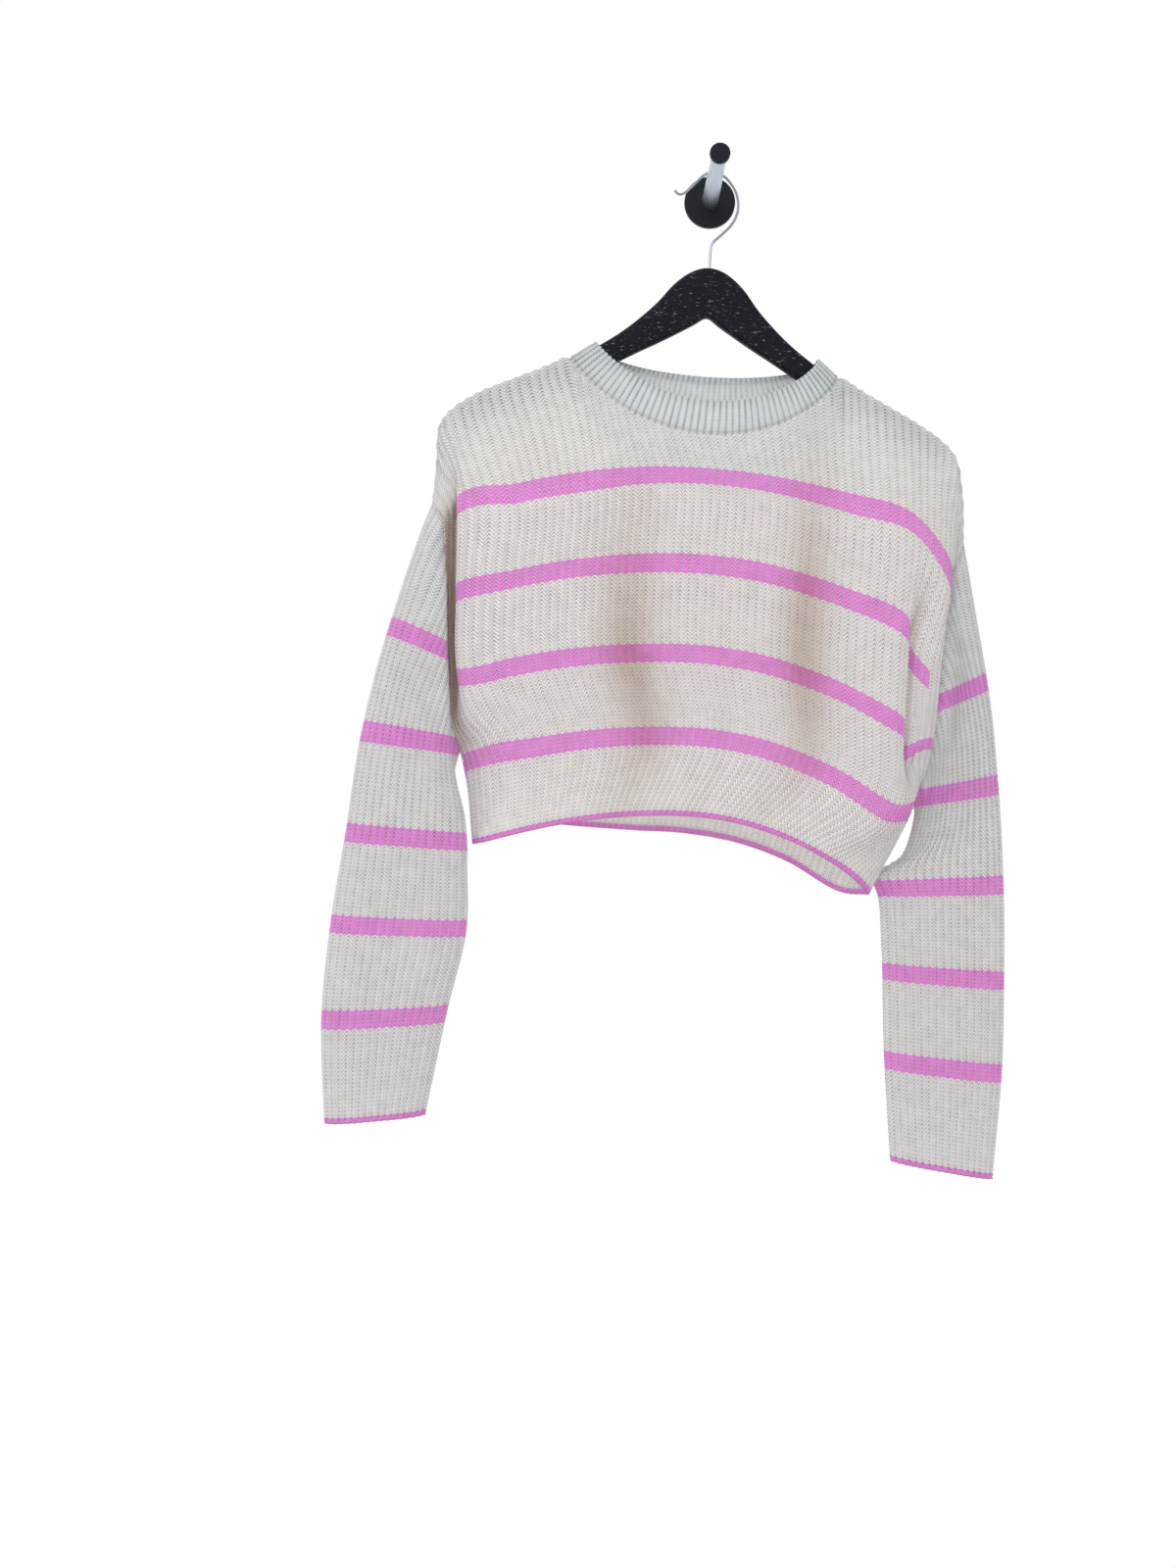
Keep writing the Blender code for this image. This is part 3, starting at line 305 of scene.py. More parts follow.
# The knit itself: the ribs and stitches that stand out from the middle of the cloth.
COURSE = 3.3                            # height of one row of stitches
SLANT = 1.4                             # courses that a stitch's legs rise over half a rib
RIB_PLACES = (0.0, 0.22, 0.5, 0.78)     # points across each rib, from valley over the crest
RIB_LOW, RIB_HIGH, STITCH = -0.1, 1.05, 0.45    # how far valleys, crests and stitches stand out
CREST_POWER = 0.8                       # below 1 the crests are full and the valleys narrow
VALLEY_STITCH = 0.35                    # share of a stitch's relief that is left in a valley
# The last row is turned in as an edge, and then runs a few rows up the inner side.
EDGE_DEPTH, EDGE_COURSE = 1.1, 0.3
INSIDE_DEPTH, INSIDE_ROWS = 1.4, 3


def rib_line(count):
    """Places of the mesh's columns: four to a rib, and the last valley."""
    return np.concatenate([np.add.outer(np.arange(count), RIB_PLACES).ravel(), [count]])


def run_down(points):
    """Length along each column from the first row."""
    steps = np.linalg.norm(np.diff(points, axis=0), axis=2)
    return np.concatenate([np.zeros((1, points.shape[1])), np.cumsum(steps, axis=0)])


def outward(points, facing, closed):
    """Unit normals of a grid of points, on the side that faces out."""
    if closed:
        wrapped = np.concatenate([points[:, -2:-1], points, points[:, 1:2]], axis=1)
        across = np.gradient(wrapped, axis=1)[:, 1:-1]
    else:
        across = np.gradient(points, axis=1)
    normal = np.cross(np.gradient(points, axis=0), across)
    return normal / np.maximum(np.linalg.norm(normal, axis=-1, keepdims=True), 1e-9) * facing


def knit(name, points, ribs, courses, facing, fade, tone, material, closed=False):
    """Raises ribs and stitches on a grid of points, turns its last row in as an edge, and makes
    the piece.  Its UV map counts ribs across and courses down.  tone holds how warm a shade and
    how much painted cool shade each point has, and 1 where it is left without pink."""
    normal = outward(points, facing, closed)
    side = np.abs(np.mod(ribs, 1.0) - 0.5) * 2                  # 0 on a crest, 1 in a valley
    crest = (0.5 + 0.5 * np.cos(np.pi * side[None])) ** CREST_POWER
    stitch = np.cos(2 * np.pi * (courses + SLANT * side[None]))
    stitch *= STITCH * (VALLEY_STITCH + (1 - VALLEY_STITCH) * crest)
    height = RIB_LOW + (RIB_HIGH - RIB_LOW) * crest + stitch
    raised = points + normal * (height * fade)[:, :, None]
    inside = -1 - INSIDE_ROWS
    edge = [points[-1] - normal[-1] * EDGE_DEPTH, points[inside] - normal[inside] * INSIDE_DEPTH]
    raised = np.concatenate([raised, edge])
    courses = np.concatenate([courses, courses[-1:] + EDGE_COURSE, courses[inside:inside + 1]])
    tone = np.concatenate([tone, tone[-1:], tone[-1:]])
    rows, columns = raised.shape[:2]
    used = columns - 1 if closed else columns
    place = np.array(HANGER_PLACE)
    placed = raised[:, :used].reshape(-1, 3) * MM @ place[:3, :3].T + place[:3, 3]
    row, column = np.divmod(np.arange((rows - 1) * (columns - 1)), columns - 1)
    corner_rows = np.stack([row, row, row + 1, row + 1], axis=1)
    corner_columns = np.stack([column, column + 1, column + 1, column], axis=1)
    if facing > 0:
        corner_rows, corner_columns = corner_rows[:, ::-1], corner_columns[:, ::-1]
    faces = corner_rows * used + corner_columns % used
    mesh = bpy.data.meshes.new(name)
    mesh.vertices.add(len(placed))
    mesh.vertices.foreach_set("co", placed.ravel())
    mesh.loops.add(faces.size)
    mesh.loops.foreach_set("vertex_index", faces.ravel())
    mesh.polygons.add(len(faces))
    mesh.polygons.foreach_set("loop_start", np.arange(len(faces)) * 4)
    mesh.update(calc_edges=True)
    uv = np.stack([ribs[corner_columns], courses[corner_rows, corner_columns]], axis=2)
    mesh.uv_layers.new(name="knit").data.foreach_set("uv", uv.ravel())
    mesh.attributes.new("tone", "FLOAT_VECTOR", "POINT").data.foreach_set("vector", tone[:, :used].ravel())
    mesh.validate()
    mesh.shade_smooth()
    mesh.materials.append(material)
    piece = bpy.data.objects.new(name, mesh)
    bpy.context.scene.collection.objects.link(piece)
    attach(piece, "root")
    return piece


CREAM, WHITE_CREAM = (0.92, 0.91, 0.875, 1), (0.95, 0.96, 0.95, 1)
# Painted cool shade: the bluish grey that the cream turns to where it is taken to lie in shade
COOL_SHADE = (0.80, 0.87, 0.90, 1)
PINK = (0.95, 0.36, 0.87, 1)
WARM_SHADE, DEEP_SHADE = (0.62, 0.50, 0.40, 1), (0.40, 0.37, 0.36, 1)
BAND_HALF = 2.5                         # courses from the middle of a pink band to its edge
BAND_ROOM = 3.0                         # and to where the first and the last band are cut off
COLOUR_STEP = 0.4                       # courses that a band's edge rises over half a rib
HOLE_SIDE, HOLE_BEAD = 0.7, 0.55        # holes lie further from a crest, and lower on a stitch
HOLE_SHARE = 0.4                        # how clear a hole is
THROUGH_SHARE = 0.3                     # share of the light that comes through the yarn


def knit_material(name, gap_share, valley_share, spacing=0, bands=0, tipping=0):
    """Yarn in V-shaped stitches: cream, with pink bands every so many courses from course 0 and
    pink past the tipping course.  Small holes between stitches let light through.  The shares
    say how deep the painted shade is between a stitch's legs and in the valleys between ribs."""
    material = bpy.data.materials.new(name)
    material.use_nodes = True
    tree = material.node_tree
    shader, output = tree.nodes["Principled BSDF"], tree.nodes["Material Output"]

    def feed(sockets, values):
        for socket, value in zip(sockets, values):
            if hasattr(value, "is_linked"):
                tree.links.new(value, socket)
            else:
                socket.default_value = value

    def math_node(operation, one, two=0.0, three=0.0):
        node = tree.nodes.new("ShaderNodeMath")
        node.operation = operation
        feed(node.inputs, (one, two, three))
        return node.outputs[0]

    def mix_colour(blend, factor, one, two):
        node = tree.nodes.new("ShaderNodeMix")
        node.data_type, node.blend_type = "RGBA", blend
        feed((node.inputs[0], node.inputs[6], node.inputs[7]), (factor, one, two))
        return node.outputs[2]

    def mix_shader(factor, one, two):
        node = tree.nodes.new("ShaderNodeMixShader")
        feed(node.inputs, (factor, one, two))
        return node.outputs[0]

    def noise(scale, detail, vector):
        node = tree.nodes.new("ShaderNodeTexNoise")
        node.inputs["Scale"].default_value = scale
        node.inputs["Detail"].default_value = detail
        tree.links.new(vector, node.inputs["Vector"])
        return node.outputs["Fac"]

    uv = tree.nodes.new("ShaderNodeUVMap")
    uv.uv_map = "knit"
    split = tree.nodes.new("ShaderNodeSeparateXYZ")
    tree.links.new(uv.outputs["UV"], split.inputs[0])
    rib, course = split.outputs["X"], split.outputs["Y"]
    place = tree.nodes.new("ShaderNodeTexCoord").outputs["Object"]
    from_crest = math_node("SUBTRACT", math_node("FRACT", rib), 0.5)
    side = math_node("MULTIPLY", math_node("ABSOLUTE", from_crest), 2.0)
    up_stitch = math_node("FRACT", math_node("MULTIPLY_ADD", side, SLANT, course))
    bead = math_node("SINE", math_node("MULTIPLY", up_stitch, math.pi))
    crest = math_node("SUBTRACT", 1.0, math_node("POWER", side, 2.5))
    tone = tree.nodes.new("ShaderNodeAttribute")
    tone.attribute_name = "tone"
    tones = tree.nodes.new("ShaderNodeSeparateXYZ")
    tree.links.new(tone.outputs["Vector"], tones.inputs[0])
    warm, cool_shade, plain = tones.outputs

    # Pink bands and tipping, on the pieces that have them
    pink = 0.0
    if bands:
        stepped = math_node("MULTIPLY_ADD", side, COLOUR_STEP, course)
        in_band = math_node("LESS_THAN", math_node("PINGPONG", stepped, spacing / 2), BAND_HALF)
        started = math_node("GREATER_THAN", stepped, -BAND_ROOM)
        ended = math_node("LESS_THAN", stepped, spacing * (bands - 1) + BAND_ROOM)
        banded = math_node("MULTIPLY", math_node("MULTIPLY", in_band, started), ended)
        tipped = math_node("GREATER_THAN", stepped, tipping)
        pink = math_node("MULTIPLY", math_node("MAXIMUM", banded, tipped), math_node("LESS_THAN", plain, 0.5))

    # Yarn: light along each leg of a stitch, with painted shade between legs and in the valleys
    soft = noise(9.0, 2.0, place)
    uneven = noise(90.0, 3.0, place)
    cream = mix_colour("MIX", soft, CREAM, WHITE_CREAM)
    # painted cool shade, as much as the tone gives
    cream = mix_colour("MIX", cool_shade, cream, COOL_SHADE)
    yarn = mix_colour("MIX", pink, cream, PINK)
    yarn = mix_colour("MULTIPLY", warm, yarn, WARM_SHADE)
    deep = mix_colour("MULTIPLY", 1.0, yarn, DEEP_SHADE)
    in_valley = math_node("MULTIPLY", math_node("SUBTRACT", 1.0, crest), valley_share)
    depth = math_node("MULTIPLY_ADD", math_node("SUBTRACT", 1.0, bead), gap_share, in_valley)
    depth = math_node("MULTIPLY", depth, math_node("MULTIPLY_ADD", uneven, 1.2, 0.25))
    colour = mix_colour("MIX", depth, yarn, deep)
    tree.links.new(colour, shader.inputs["Base Color"])
    shader.inputs["Roughness"].default_value = 0.85
    shader.inputs["Specular IOR Level"].default_value = 0.25
    shader.inputs["Sheen Weight"].default_value = 0.3
    shader.inputs["Sheen Roughness"].default_value = 0.45
    shader.inputs["Sheen Tint"].default_value = (0.9, 0.95, 1.0, 1)

    # Relief: V stitches down each rib, twisted plies, and loose fibre
    fibre = noise(2600.0, 2.0, place)
    relief = math_node("ADD", math_node("MULTIPLY", crest, 0.25), math_node("MULTIPLY", bead, 0.6))
    relief = math_node("MULTIPLY_ADD", fibre, 0.22, relief)
    bump = tree.nodes.new("ShaderNodeBump")
    bump.inputs["Strength"].default_value = 0.8
    bump.inputs["Distance"].default_value = 0.0011
    tree.links.new(relief, bump.inputs["Height"])
    tree.links.new(bump.outputs["Normal"], shader.inputs["Normal"])

    # Light through the yarn, and the holes between stitches
    through = tree.nodes.new("ShaderNodeBsdfTranslucent")
    tree.links.new(mix_colour("MULTIPLY", 1.0, colour, (1.0, 0.96, 0.92, 1)), through.inputs["Color"])
    clear = tree.nodes.new("ShaderNodeBsdfTransparent")
    thin = mix_shader(THROUGH_SHARE, shader.outputs[0], through.outputs[0])
    in_hole = math_node("MULTIPLY", math_node("GREATER_THAN", side, HOLE_SIDE),
                        math_node("LESS_THAN", bead, HOLE_BEAD))
    holed = mix_shader(math_node("MULTIPLY", in_hole, HOLE_SHARE), thin, clear.outputs[0])
    tree.links.new(holed, output.inputs["Surface"])
    return material


BAND_COURSES, HEM_COURSES = 23, 21      # courses from stripe to stripe, and from the last to the hem
BODY_COURSES = 3 * BAND_COURSES + HEM_COURSES
TIPPING = 1.3                           # courses at the hem and at the cuffs that are pink
body_knit = knit_material("body_knit", 0.75, 0.15, BAND_COURSES, 4, BODY_COURSES - TIPPING)


def hill(values, middle, width):
    """A smooth rise and fall, 1 at its middle."""
    return np.exp(-((values - middle) / width) ** 2)


def between(values, start, full, fading, end):
    """Rises from 0 at start to 1 at full, and falls again from fading to 0 at end."""
    return np.clip((values - start) / (full - start), 0, 1) * np.clip((end - values) / (end - fading), 0, 1)


# How far the cloth beside the crease is drawn towards the middle, and how far the first stripe
# is lifted behind the left fold, both by rib.
DRAWN_IN = ((56, 0), (58, 5), (59, 12), (60, 17), (61, 18), (62, 17), (63, 14), (64, 9), (66, 0))
LIFTED = ((0, 16), (3, 20), (4, 11), (5, 2), (6, 0))


def front_folds(points, ribs, rows):
    """Sharpens the fold down the left side of the front and the crease down its right, and tells
    where the cloth is in warm shade and where a turned-under stripe is out of sight.  Each hill
    has its middle and width in ribs or in rows."""
    fold = between(rows, 0.3, 1.0, 3.3, 3.9)
    crease = between(rows, 1.2, 1.8, 3.3, 3.8)
    drawn_in, lifted = np.interp(ribs, *zip(*DRAWN_IN)), np.interp(ribs, *zip(*LIFTED))
    across = (-3.5 * hill(ribs, 5, 1.6) * fold                  # the fold stands out to the side,
              - 5 * hill(ribs, 4, 4) * hill(rows, 3.5, 0.35)    # and furthest at the underarm
              - drawn_in * crease)
    away = (-6.5 * hill(ribs, 4.9, 1.5) * fold                  # its edge comes towards the viewer
            + 6 * hill(ribs, 60.2, 1.3) * crease                # the crease sinks in,
            - 4 * hill(ribs, 57.4, 1.6) * crease)               # and its lip stands up beside it
    up = (lifted * hill(rows, 1, 0.45)
          + 7 * hill(ribs, 0, 5) * hill(rows, 4, 0.4)           # the last stripe rises at the left seam
          - 15 * hill(ribs, 61, 2) * hill(rows, 3, 0.4))        # the third drops inside the crease
    warm = (0.7 * hill(ribs, 24, 3.2) * hill(rows, 3.1, 1.4)    # shade in the two soft folds,
            + 0.7 * hill(ribs, 45, 2.6) * hill(rows, 2.6, 1.5)
            + np.clip((3.2 - ribs) / 0.7, 0, 1) * fold          # behind the left fold
            + 0.6 * hill(ribs, 60.2, 0.8) * crease)             # and down in the crease
    behind_fold = (ribs < 3.0) * (rows < 3.7)
    behind_crease = (ribs > np.where(rows < 2.5, 63.6, 65.5)) * (crease > 0.2)
    plain = np.maximum(behind_fold, behind_crease).astype(float)
    return points + np.stack([across, away, up], axis=2), np.clip(warm, 0, 1), plain


YOKE_RIB, YOKE_ROWS = 14.0, 96          # rows above the first stripe lie evenly down this rib
EDGE_FADE, SIDE_FADE = 3.0, 0.5         # the relief fades in over these mm and ribs from a seam
YOKE_COOL_SHADE, YOKE_COOL_SHADE_LENGTH = 0.55, 60  # painted cool shade at the shoulders, fading over these mm
SIDE_COOL_SHADE, SIDE_COOL_SHADE_RIBS = 0.35, 5     # painted cool shade at the sides, fading over these ribs


def panel_piece(panel, facing):
    """The front or back as a fine mesh of ribs and stitches."""
    ribs = rib_line(BODY_RIBS)
    fine = np.linspace(0, 1, 300)
    run = length_along(panel_surface(panel, [YOKE_RIB], fine)[:, 0])
    rows = np.concatenate([np.interp(np.linspace(0, run[-1], YOKE_ROWS + 1)[:-1], run, fine),
                           np.linspace(1, 4, 6 * BAND_COURSES + 1)[:-1],
                           np.linspace(4, HEM_ROW, 2 * HEM_COURSES + 1)])
    points = panel_surface(panel, ribs, rows)
    down = run_down(points)
    below = np.where(rows < 4, (rows - 1) * BAND_COURSES, 3 * BAND_COURSES + (rows - 4) * HEM_COURSES)
    courses = np.where(rows[:, None] < 1, (down - down[YOKE_ROWS]) / COURSE, below[:, None])
    from_side = np.minimum(ribs, BODY_RIBS - ribs)[None]
    fade = np.minimum(np.clip(down / EDGE_FADE, 0, 1), np.clip(from_side / SIDE_FADE, 0, 1))
    # Painted cool shade at the shoulders and at the sides
    cool_shade = np.maximum(YOKE_COOL_SHADE * np.clip(1 - down / YOKE_COOL_SHADE_LENGTH, 0, 1),
                      SIDE_COOL_SHADE * np.clip(1 - from_side / SIDE_COOL_SHADE_RIBS, 0, 1))
    warm, plain = np.zeros(points.shape[:2]), np.zeros(points.shape[:2])
    if panel is FRONT:
        points, warm, plain = front_folds(points, ribs[None], rows[:, None])
    tone = np.stack([warm, cool_shade, plain], axis=2)
    return knit(panel.name + "_knit", points, ribs, courses, facing, fade, tone, body_knit)


front = panel_piece(FRONT, 1)
back = panel_piece(BACK, -1)
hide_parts("front")
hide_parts("back")

# ------------------------------------------------------------------ sleeves
# Two tubes of the same rib knit, 34 ribs round, sewn into the dropped armholes, with five pink
# bands and a pink course at the cuff.  They hang flattened, in soft curves to their open cuffs.
SLEEVE_RIBS = 34
HALF_SLEEVE = SLEEVE_RIBS / 2
# Rows of a sleeve: 0 the armhole, 1 to 5 its stripes, 6 the cuff.
ROLL_ROW, CUFF_ROW = 0.22, 6.0

# A row for each stripe and for the cuff: the places and depth of a flattened tube there.  Those
# near the armhole slope down to their inner edge, which hangs below the underarm.
SleeveRow = namedtuple("SleeveRow", "row outer_x outer_z inner_x inner_z mid_y depth")
SLEEVE_LEFT_ROWS = (
    SleeveRow(1, -266.0, -416, -207.5, -548.0, -20, 46),
    SleeveRow(2, -284.5, -509, -201.5, -583.0, -27, 38),
    SleeveRow(3, -293.5, -596, -192.0, -614.0, -30, 32),
    SleeveRow(4, -302.5, -674, -186.5, -673.5, -27, 30),
    SleeveRow(5, -306.0, -757, -199.5, -747.0, -25, 28),
    SleeveRow(CUFF_ROW, -299.0, -846, -213.5, -835.5, -23, 24),
)
SLEEVE_RIGHT_ROWS = (
    SleeveRow(1, 274.5, -430.5, 214.0, -564.0, 1, 24),
    SleeveRow(2, 291.5, -525.0, 206.0, -597.0, 5, 24),
    SleeveRow(3, 303.0, -616.0, 190.5, -629.0, 9, 26),
    SleeveRow(4, 307.5, -703.5, 194.0, -699.0, 7, 25),
    SleeveRow(5, 309.0, -787.5, 199.5, -779.0, 5, 24),
    SleeveRow(CUFF_ROW, 304.5, -883.5, 209.5, -870.0, 3, 22),
)
# How the cloth leaves the armhole seam, by rib: 0 the underarm, 17 the top of the armhole.
Roll = namedtuple("Roll", "rib x y z")
ROLL_LEFT = (Roll(0, -3, -3, -10), Roll(4, 0, -14, -14), Roll(9, 0, -18, -13), Roll(12, -1, -16, -14),
             Roll(14.5, -8, -9, -15), Roll(17, -7, -1, -20), Roll(20, -5, 3, -20),
             Roll(25, -5, 4, -17), Roll(30, -4, 3, -14), Roll(34, -3, -3, -10))
ROLL_RIGHT = (Roll(0, 3, 3, -10), Roll(4, 4, 0, -13), Roll(9, 10, -2, -13), Roll(12, 9, -3, -14),
              Roll(14.5, 6, -3, -20), Roll(17, 5, 0, -21), Roll(20, 6, 2, -20),
              Roll(25, 6, 2, -17), Roll(30, 4, 2, -14), Roll(34, 3, 3, -10))
# The outline of a flattened tube, from its outer edge (0) to its inner one (1): share of its
# half depth.
ROUND_SHARES = ((0.0, 0.0), (0.06, 0.55), (0.2, 0.9), (0.5, 1.0), (0.8, 0.9), (0.94, 0.55), (1.0, 0.0))
SleeveCut = namedtuple("SleeveCut", "name body_rib rows roll")
SLEEVE_LEFT = SleeveCut("sleeve_left", 0, SLEEVE_LEFT_ROWS, ROLL_LEFT)
SLEEVE_RIGHT = SleeveCut("sleeve_right", BODY_RIBS, SLEEVE_RIGHT_ROWS, ROLL_RIGHT)


def armhole_rows(panel, body_rib):
    """A panel's rows up its armhole, from the underarm, and the share of its length at each."""
    fine = np.linspace(UNDERARM_ROW, 0, 200)
    run = length_along(panel_surface(panel, [body_rib], fine)[:, 0])
    return run / run[-1], fine


ARMHOLES = {(panel.name, sleeve.name): armhole_rows(panel, sleeve.body_rib)
            for panel in (FRONT, BACK) for sleeve in (SLEEVE_LEFT, SLEEVE_RIGHT)}


def armhole_row(panel, sleeve, rib):
    """The panel's row where this rib of the sleeve is sewn on."""
    share = np.minimum(rib, SLEEVE_RIBS - rib) / HALF_SLEEVE
    run, fine = ARMHOLES[panel.name, sleeve.name]
    return np.interp(share, run, fine)


def armhole(sleeve, ribs):
    """Points of the armhole seam at the ribs of the sleeve."""
    points = np.empty((len(ribs), 3))
    for index, rib in enumerate(ribs):
        panel = FRONT if rib <= HALF_SLEEVE else BACK
        row = armhole_row(panel, sleeve, rib)
        points[index] = panel_surface(panel, [sleeve.body_rib], [row])[0, 0]
    return points


def sleeve_ring(row, ribs):
    """Points round a sleeve at one of its tabled rows, its ribs evenly spread."""
    stations, points = [], []
    for face in (-1, 1):
        outline = np.array([(row.outer_x + (row.inner_x - row.outer_x) * share,
                             row.mid_y + face * bulge * row.depth / 2,
                             row.outer_z + (row.inner_z - row.outer_z) * share)
                            for share, bulge in ROUND_SHARES])
        run = length_along(outline)
        half = HALF_SLEEVE * (1 - run / run[-1])
        if face < 0:
            stations += list(half[::-1])
            points += list(outline[::-1])
        else:
            stations += list(SLEEVE_RIBS - half[1:])
            points += list(outline[1:])
    stations = [stations[-2] - SLEEVE_RIBS] + stations + [stations[1] + SLEEVE_RIBS]
    points = [points[-2]] + points + [points[1]]
    return curve(stations, points, ribs)


def sleeve_surface(sleeve, ribs, rows):
    """Middle of a sleeve's cloth on a grid of ribs (round the tube) and rows."""
    ribs = np.mod(np.asarray(ribs, float), SLEEVE_RIBS)
    top = armhole(sleeve, ribs)
    roll = top + curve([r.rib for r in sleeve.roll], [r[1:] for r in sleeve.roll], ribs)
    knots = [0.0, ROLL_ROW] + [row.row for row in sleeve.rows]
    stack = np.array([top, roll] + [sleeve_ring(row, ribs) for row in sleeve.rows])
    flat = curve(knots, stack.reshape(len(knots), -1), rows)
    return flat.reshape(len(rows), len(ribs), 3)


SLEEVE_COURSES, CUFF_COURSES = 25, 26   # courses from stripe to stripe, and from the last to the cuff
# The course at each stripe and at the cuff's edge.
SLEEVE_COUNTS = [SLEEVE_COURSES * stripe for stripe in range(5)]
SLEEVE_COUNTS.append(SLEEVE_COUNTS[-1] + CUFF_COURSES)
THIRD_STRIPE = SLEEVE_COUNTS[2]
SEAM_ROWS = 240                         # rows of the mesh from the armhole to stripe 3
SLEEVE_COOL_SHADE, TOP_COOL_SHADE, TOP_COOL_SHADE_LENGTH = 0.3, 0.3, 80   # painted cool shade all over, and more over these mm
SEAM_SHADE, SEAM_SHADE_LENGTH = 0.35, 4                 # warm shade at the armhole seam
sleeve_knit = knit_material("sleeve_knit", 0.75, 0.3, SLEEVE_COURSES, 5, SLEEVE_COUNTS[-1] - TIPPING)

# Where the upper stripes lie across the front of each sleeve.
Stripe = namedtuple("Stripe", "outer_x outer_z inner_x inner_z")
LEFT_STRIPES = (Stripe(-266, -416, -212, -437.5), Stripe(-284.5, -509, -200.5, -516.5),
                Stripe(-293.5, -596, -192, -599))
RIGHT_STRIPES = (Stripe(274.5, -430.5, 235, -450), Stripe(291.5, -525, 216, -540),
                 Stripe(303, -616, 190.5, -624))
# A sleeve's inner side reaches on behind the body: how far, at which row, and over how many.
Reach = namedtuple("Reach", "far row rows")


def reach_inward(sleeve, reach, along, fine):
    """Moves a sleeve's inner side on behind the body, and leaves its outer edge where it is."""
    tabled = [row.row for row in sleeve.rows]
    outer = np.interp(fine, tabled, [row.outer_x for row in sleeve.rows])[:, None]
    inner = np.interp(fine, tabled, [row.inner_x for row in sleeve.rows])[:, None]
    innerness = np.clip((along[..., 0] - outer) / (inner - outer), 0, 1) ** 2
    along[..., 0] += reach.far * innerness * hill(fine, reach.row, reach.rows)[:, None]


def count_courses(sleeve, stripes, along):
    """The course at each point of a sleeve.  They follow the stripes, so that more of them run
    into the armhole at its top than at the underarm."""
    lines = stripes + tuple(Stripe(row.outer_x, row.outer_z, row.inner_x, row.inner_z)
                            for row in sleeve.rows[len(stripes):])
    heights = [line.outer_z + (line.inner_z - line.outer_z) * (along[..., 0] - line.outer_x)
               / (line.inner_x - line.outer_x) for line in lines]
    counted = (heights[0] - along[..., 2]) / COURSE
    for upper, lower, start, end in zip(heights, heights[1:], SLEEVE_COUNTS, SLEEVE_COUNTS[1:]):
        share = np.clip((upper - along[..., 2]) / (upper - lower), 0, None)
        counted = np.where(share > 0, start + (end - start) * share, counted)
    counted = np.maximum.accumulate(counted, axis=0)
    counted[-1] = SLEEVE_COUNTS[-1]
    return counted


def rows_on_courses(along, counted):
    """A sleeve's points and courses again, with the rows of its mesh laid along its courses."""
    below = np.arange(THIRD_STRIPE, SLEEVE_COUNTS[-1] + 0.1, 0.5)
    columns, courses = [], []
    for column, count in enumerate(counted.T):
        above = np.linspace(count[0], THIRD_STRIPE, SEAM_ROWS, endpoint=False)
        wanted = np.concatenate([above, below])
        at = np.interp(wanted, count, np.arange(len(count)))
        step = np.minimum(at.astype(int), len(count) - 2)
        ahead = along[step + 1, column] - along[step, column]
        columns.append(along[step, column] + ahead * (at - step)[:, None])
        courses.append(wanted)
    return np.stack(columns, axis=1), np.stack(courses, axis=1)


def sleeve_piece(sleeve, facing, stripes, reach):
    """A sleeve as a fine mesh of ribs and stitches, closed round its tube."""
    ribs = rib_line(SLEEVE_RIBS)
    fine = np.linspace(0, CUFF_ROW, 601)
    along = sleeve_surface(sleeve, ribs, fine)
    reach_inward(sleeve, reach, along, fine)
    points, courses = rows_on_courses(along, count_courses(sleeve, stripes, along))
    down = run_down(points)
    warm = SEAM_SHADE * hill(down, 0, SEAM_SHADE_LENGTH)
    # Painted cool shade over the whole sleeve, more near the armhole
    cool_shade = SLEEVE_COOL_SHADE + TOP_COOL_SHADE * np.clip(1 - down / TOP_COOL_SHADE_LENGTH, 0, 1)
    tone = np.stack([warm, cool_shade, np.zeros(down.shape)], axis=2)
    fade = np.clip(down / EDGE_FADE, 0, 1)
    return knit(sleeve.name + "_knit", points, ribs, courses, facing, fade, tone, sleeve_knit, closed=True)


sleeve_left = sleeve_piece(SLEEVE_LEFT, -1, LEFT_STRIPES, Reach(10, 1.8, 1.1))
sleeve_right = sleeve_piece(SLEEVE_RIGHT, 1, RIGHT_STRIPES, Reach(-16, 2.55, 0.4))
for piece, node in ((sleeve_left, "sleeve_left"), (sleeve_right, "sleeve_right")):
    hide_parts(node)

# ------------------------------------------------------------------ neckband
# A narrow strip of the rib knit, linked to both necklines by a chain of stitches along its base.
# Its free edge stands higher and nearer the neck.
NECK_RIBS = 98
HALF_BAND = NECK_RIBS / 2
# The free edge: half its width, its middle and the height of its two ends.
BAND_EDGE_HALF, BAND_EDGE_MIDDLE, BAND_EDGE_Z = 100.0, 2.0, -151.0
BandEdge = namedtuple("BandEdge", "drop depth drop_shape")
FRONT_BAND, BACK_BAND = BandEdge(52.0, -33.0, 0.75), BandEdge(17.0, 23.0, 0.5)
BAND_BULGE = 1.5                        # how far the strip bulges out between seam and edge
BAND_SPREAD = 0.96                      # below 1 the free edge is drawn on towards its two ends


def neck_run(panel):
    """How the ribs of the band are spread along a panel's neckline, by length."""
    fine = np.linspace(NECK_LEFT, NECK_RIGHT, 400)
    run = length_along(top_edge(fine, panel.neckline))
    return run / run[-1], fine


NECK_RUNS = {panel.name: neck_run(panel) for panel in (FRONT, BACK)}


def neck_rib(panel, rib):
    """The panel's rib where this rib of the band is linked on."""
    share = min(rib, NECK_RIBS - rib) / HALF_BAND
    return np.interp(share, *NECK_RUNS[panel.name])


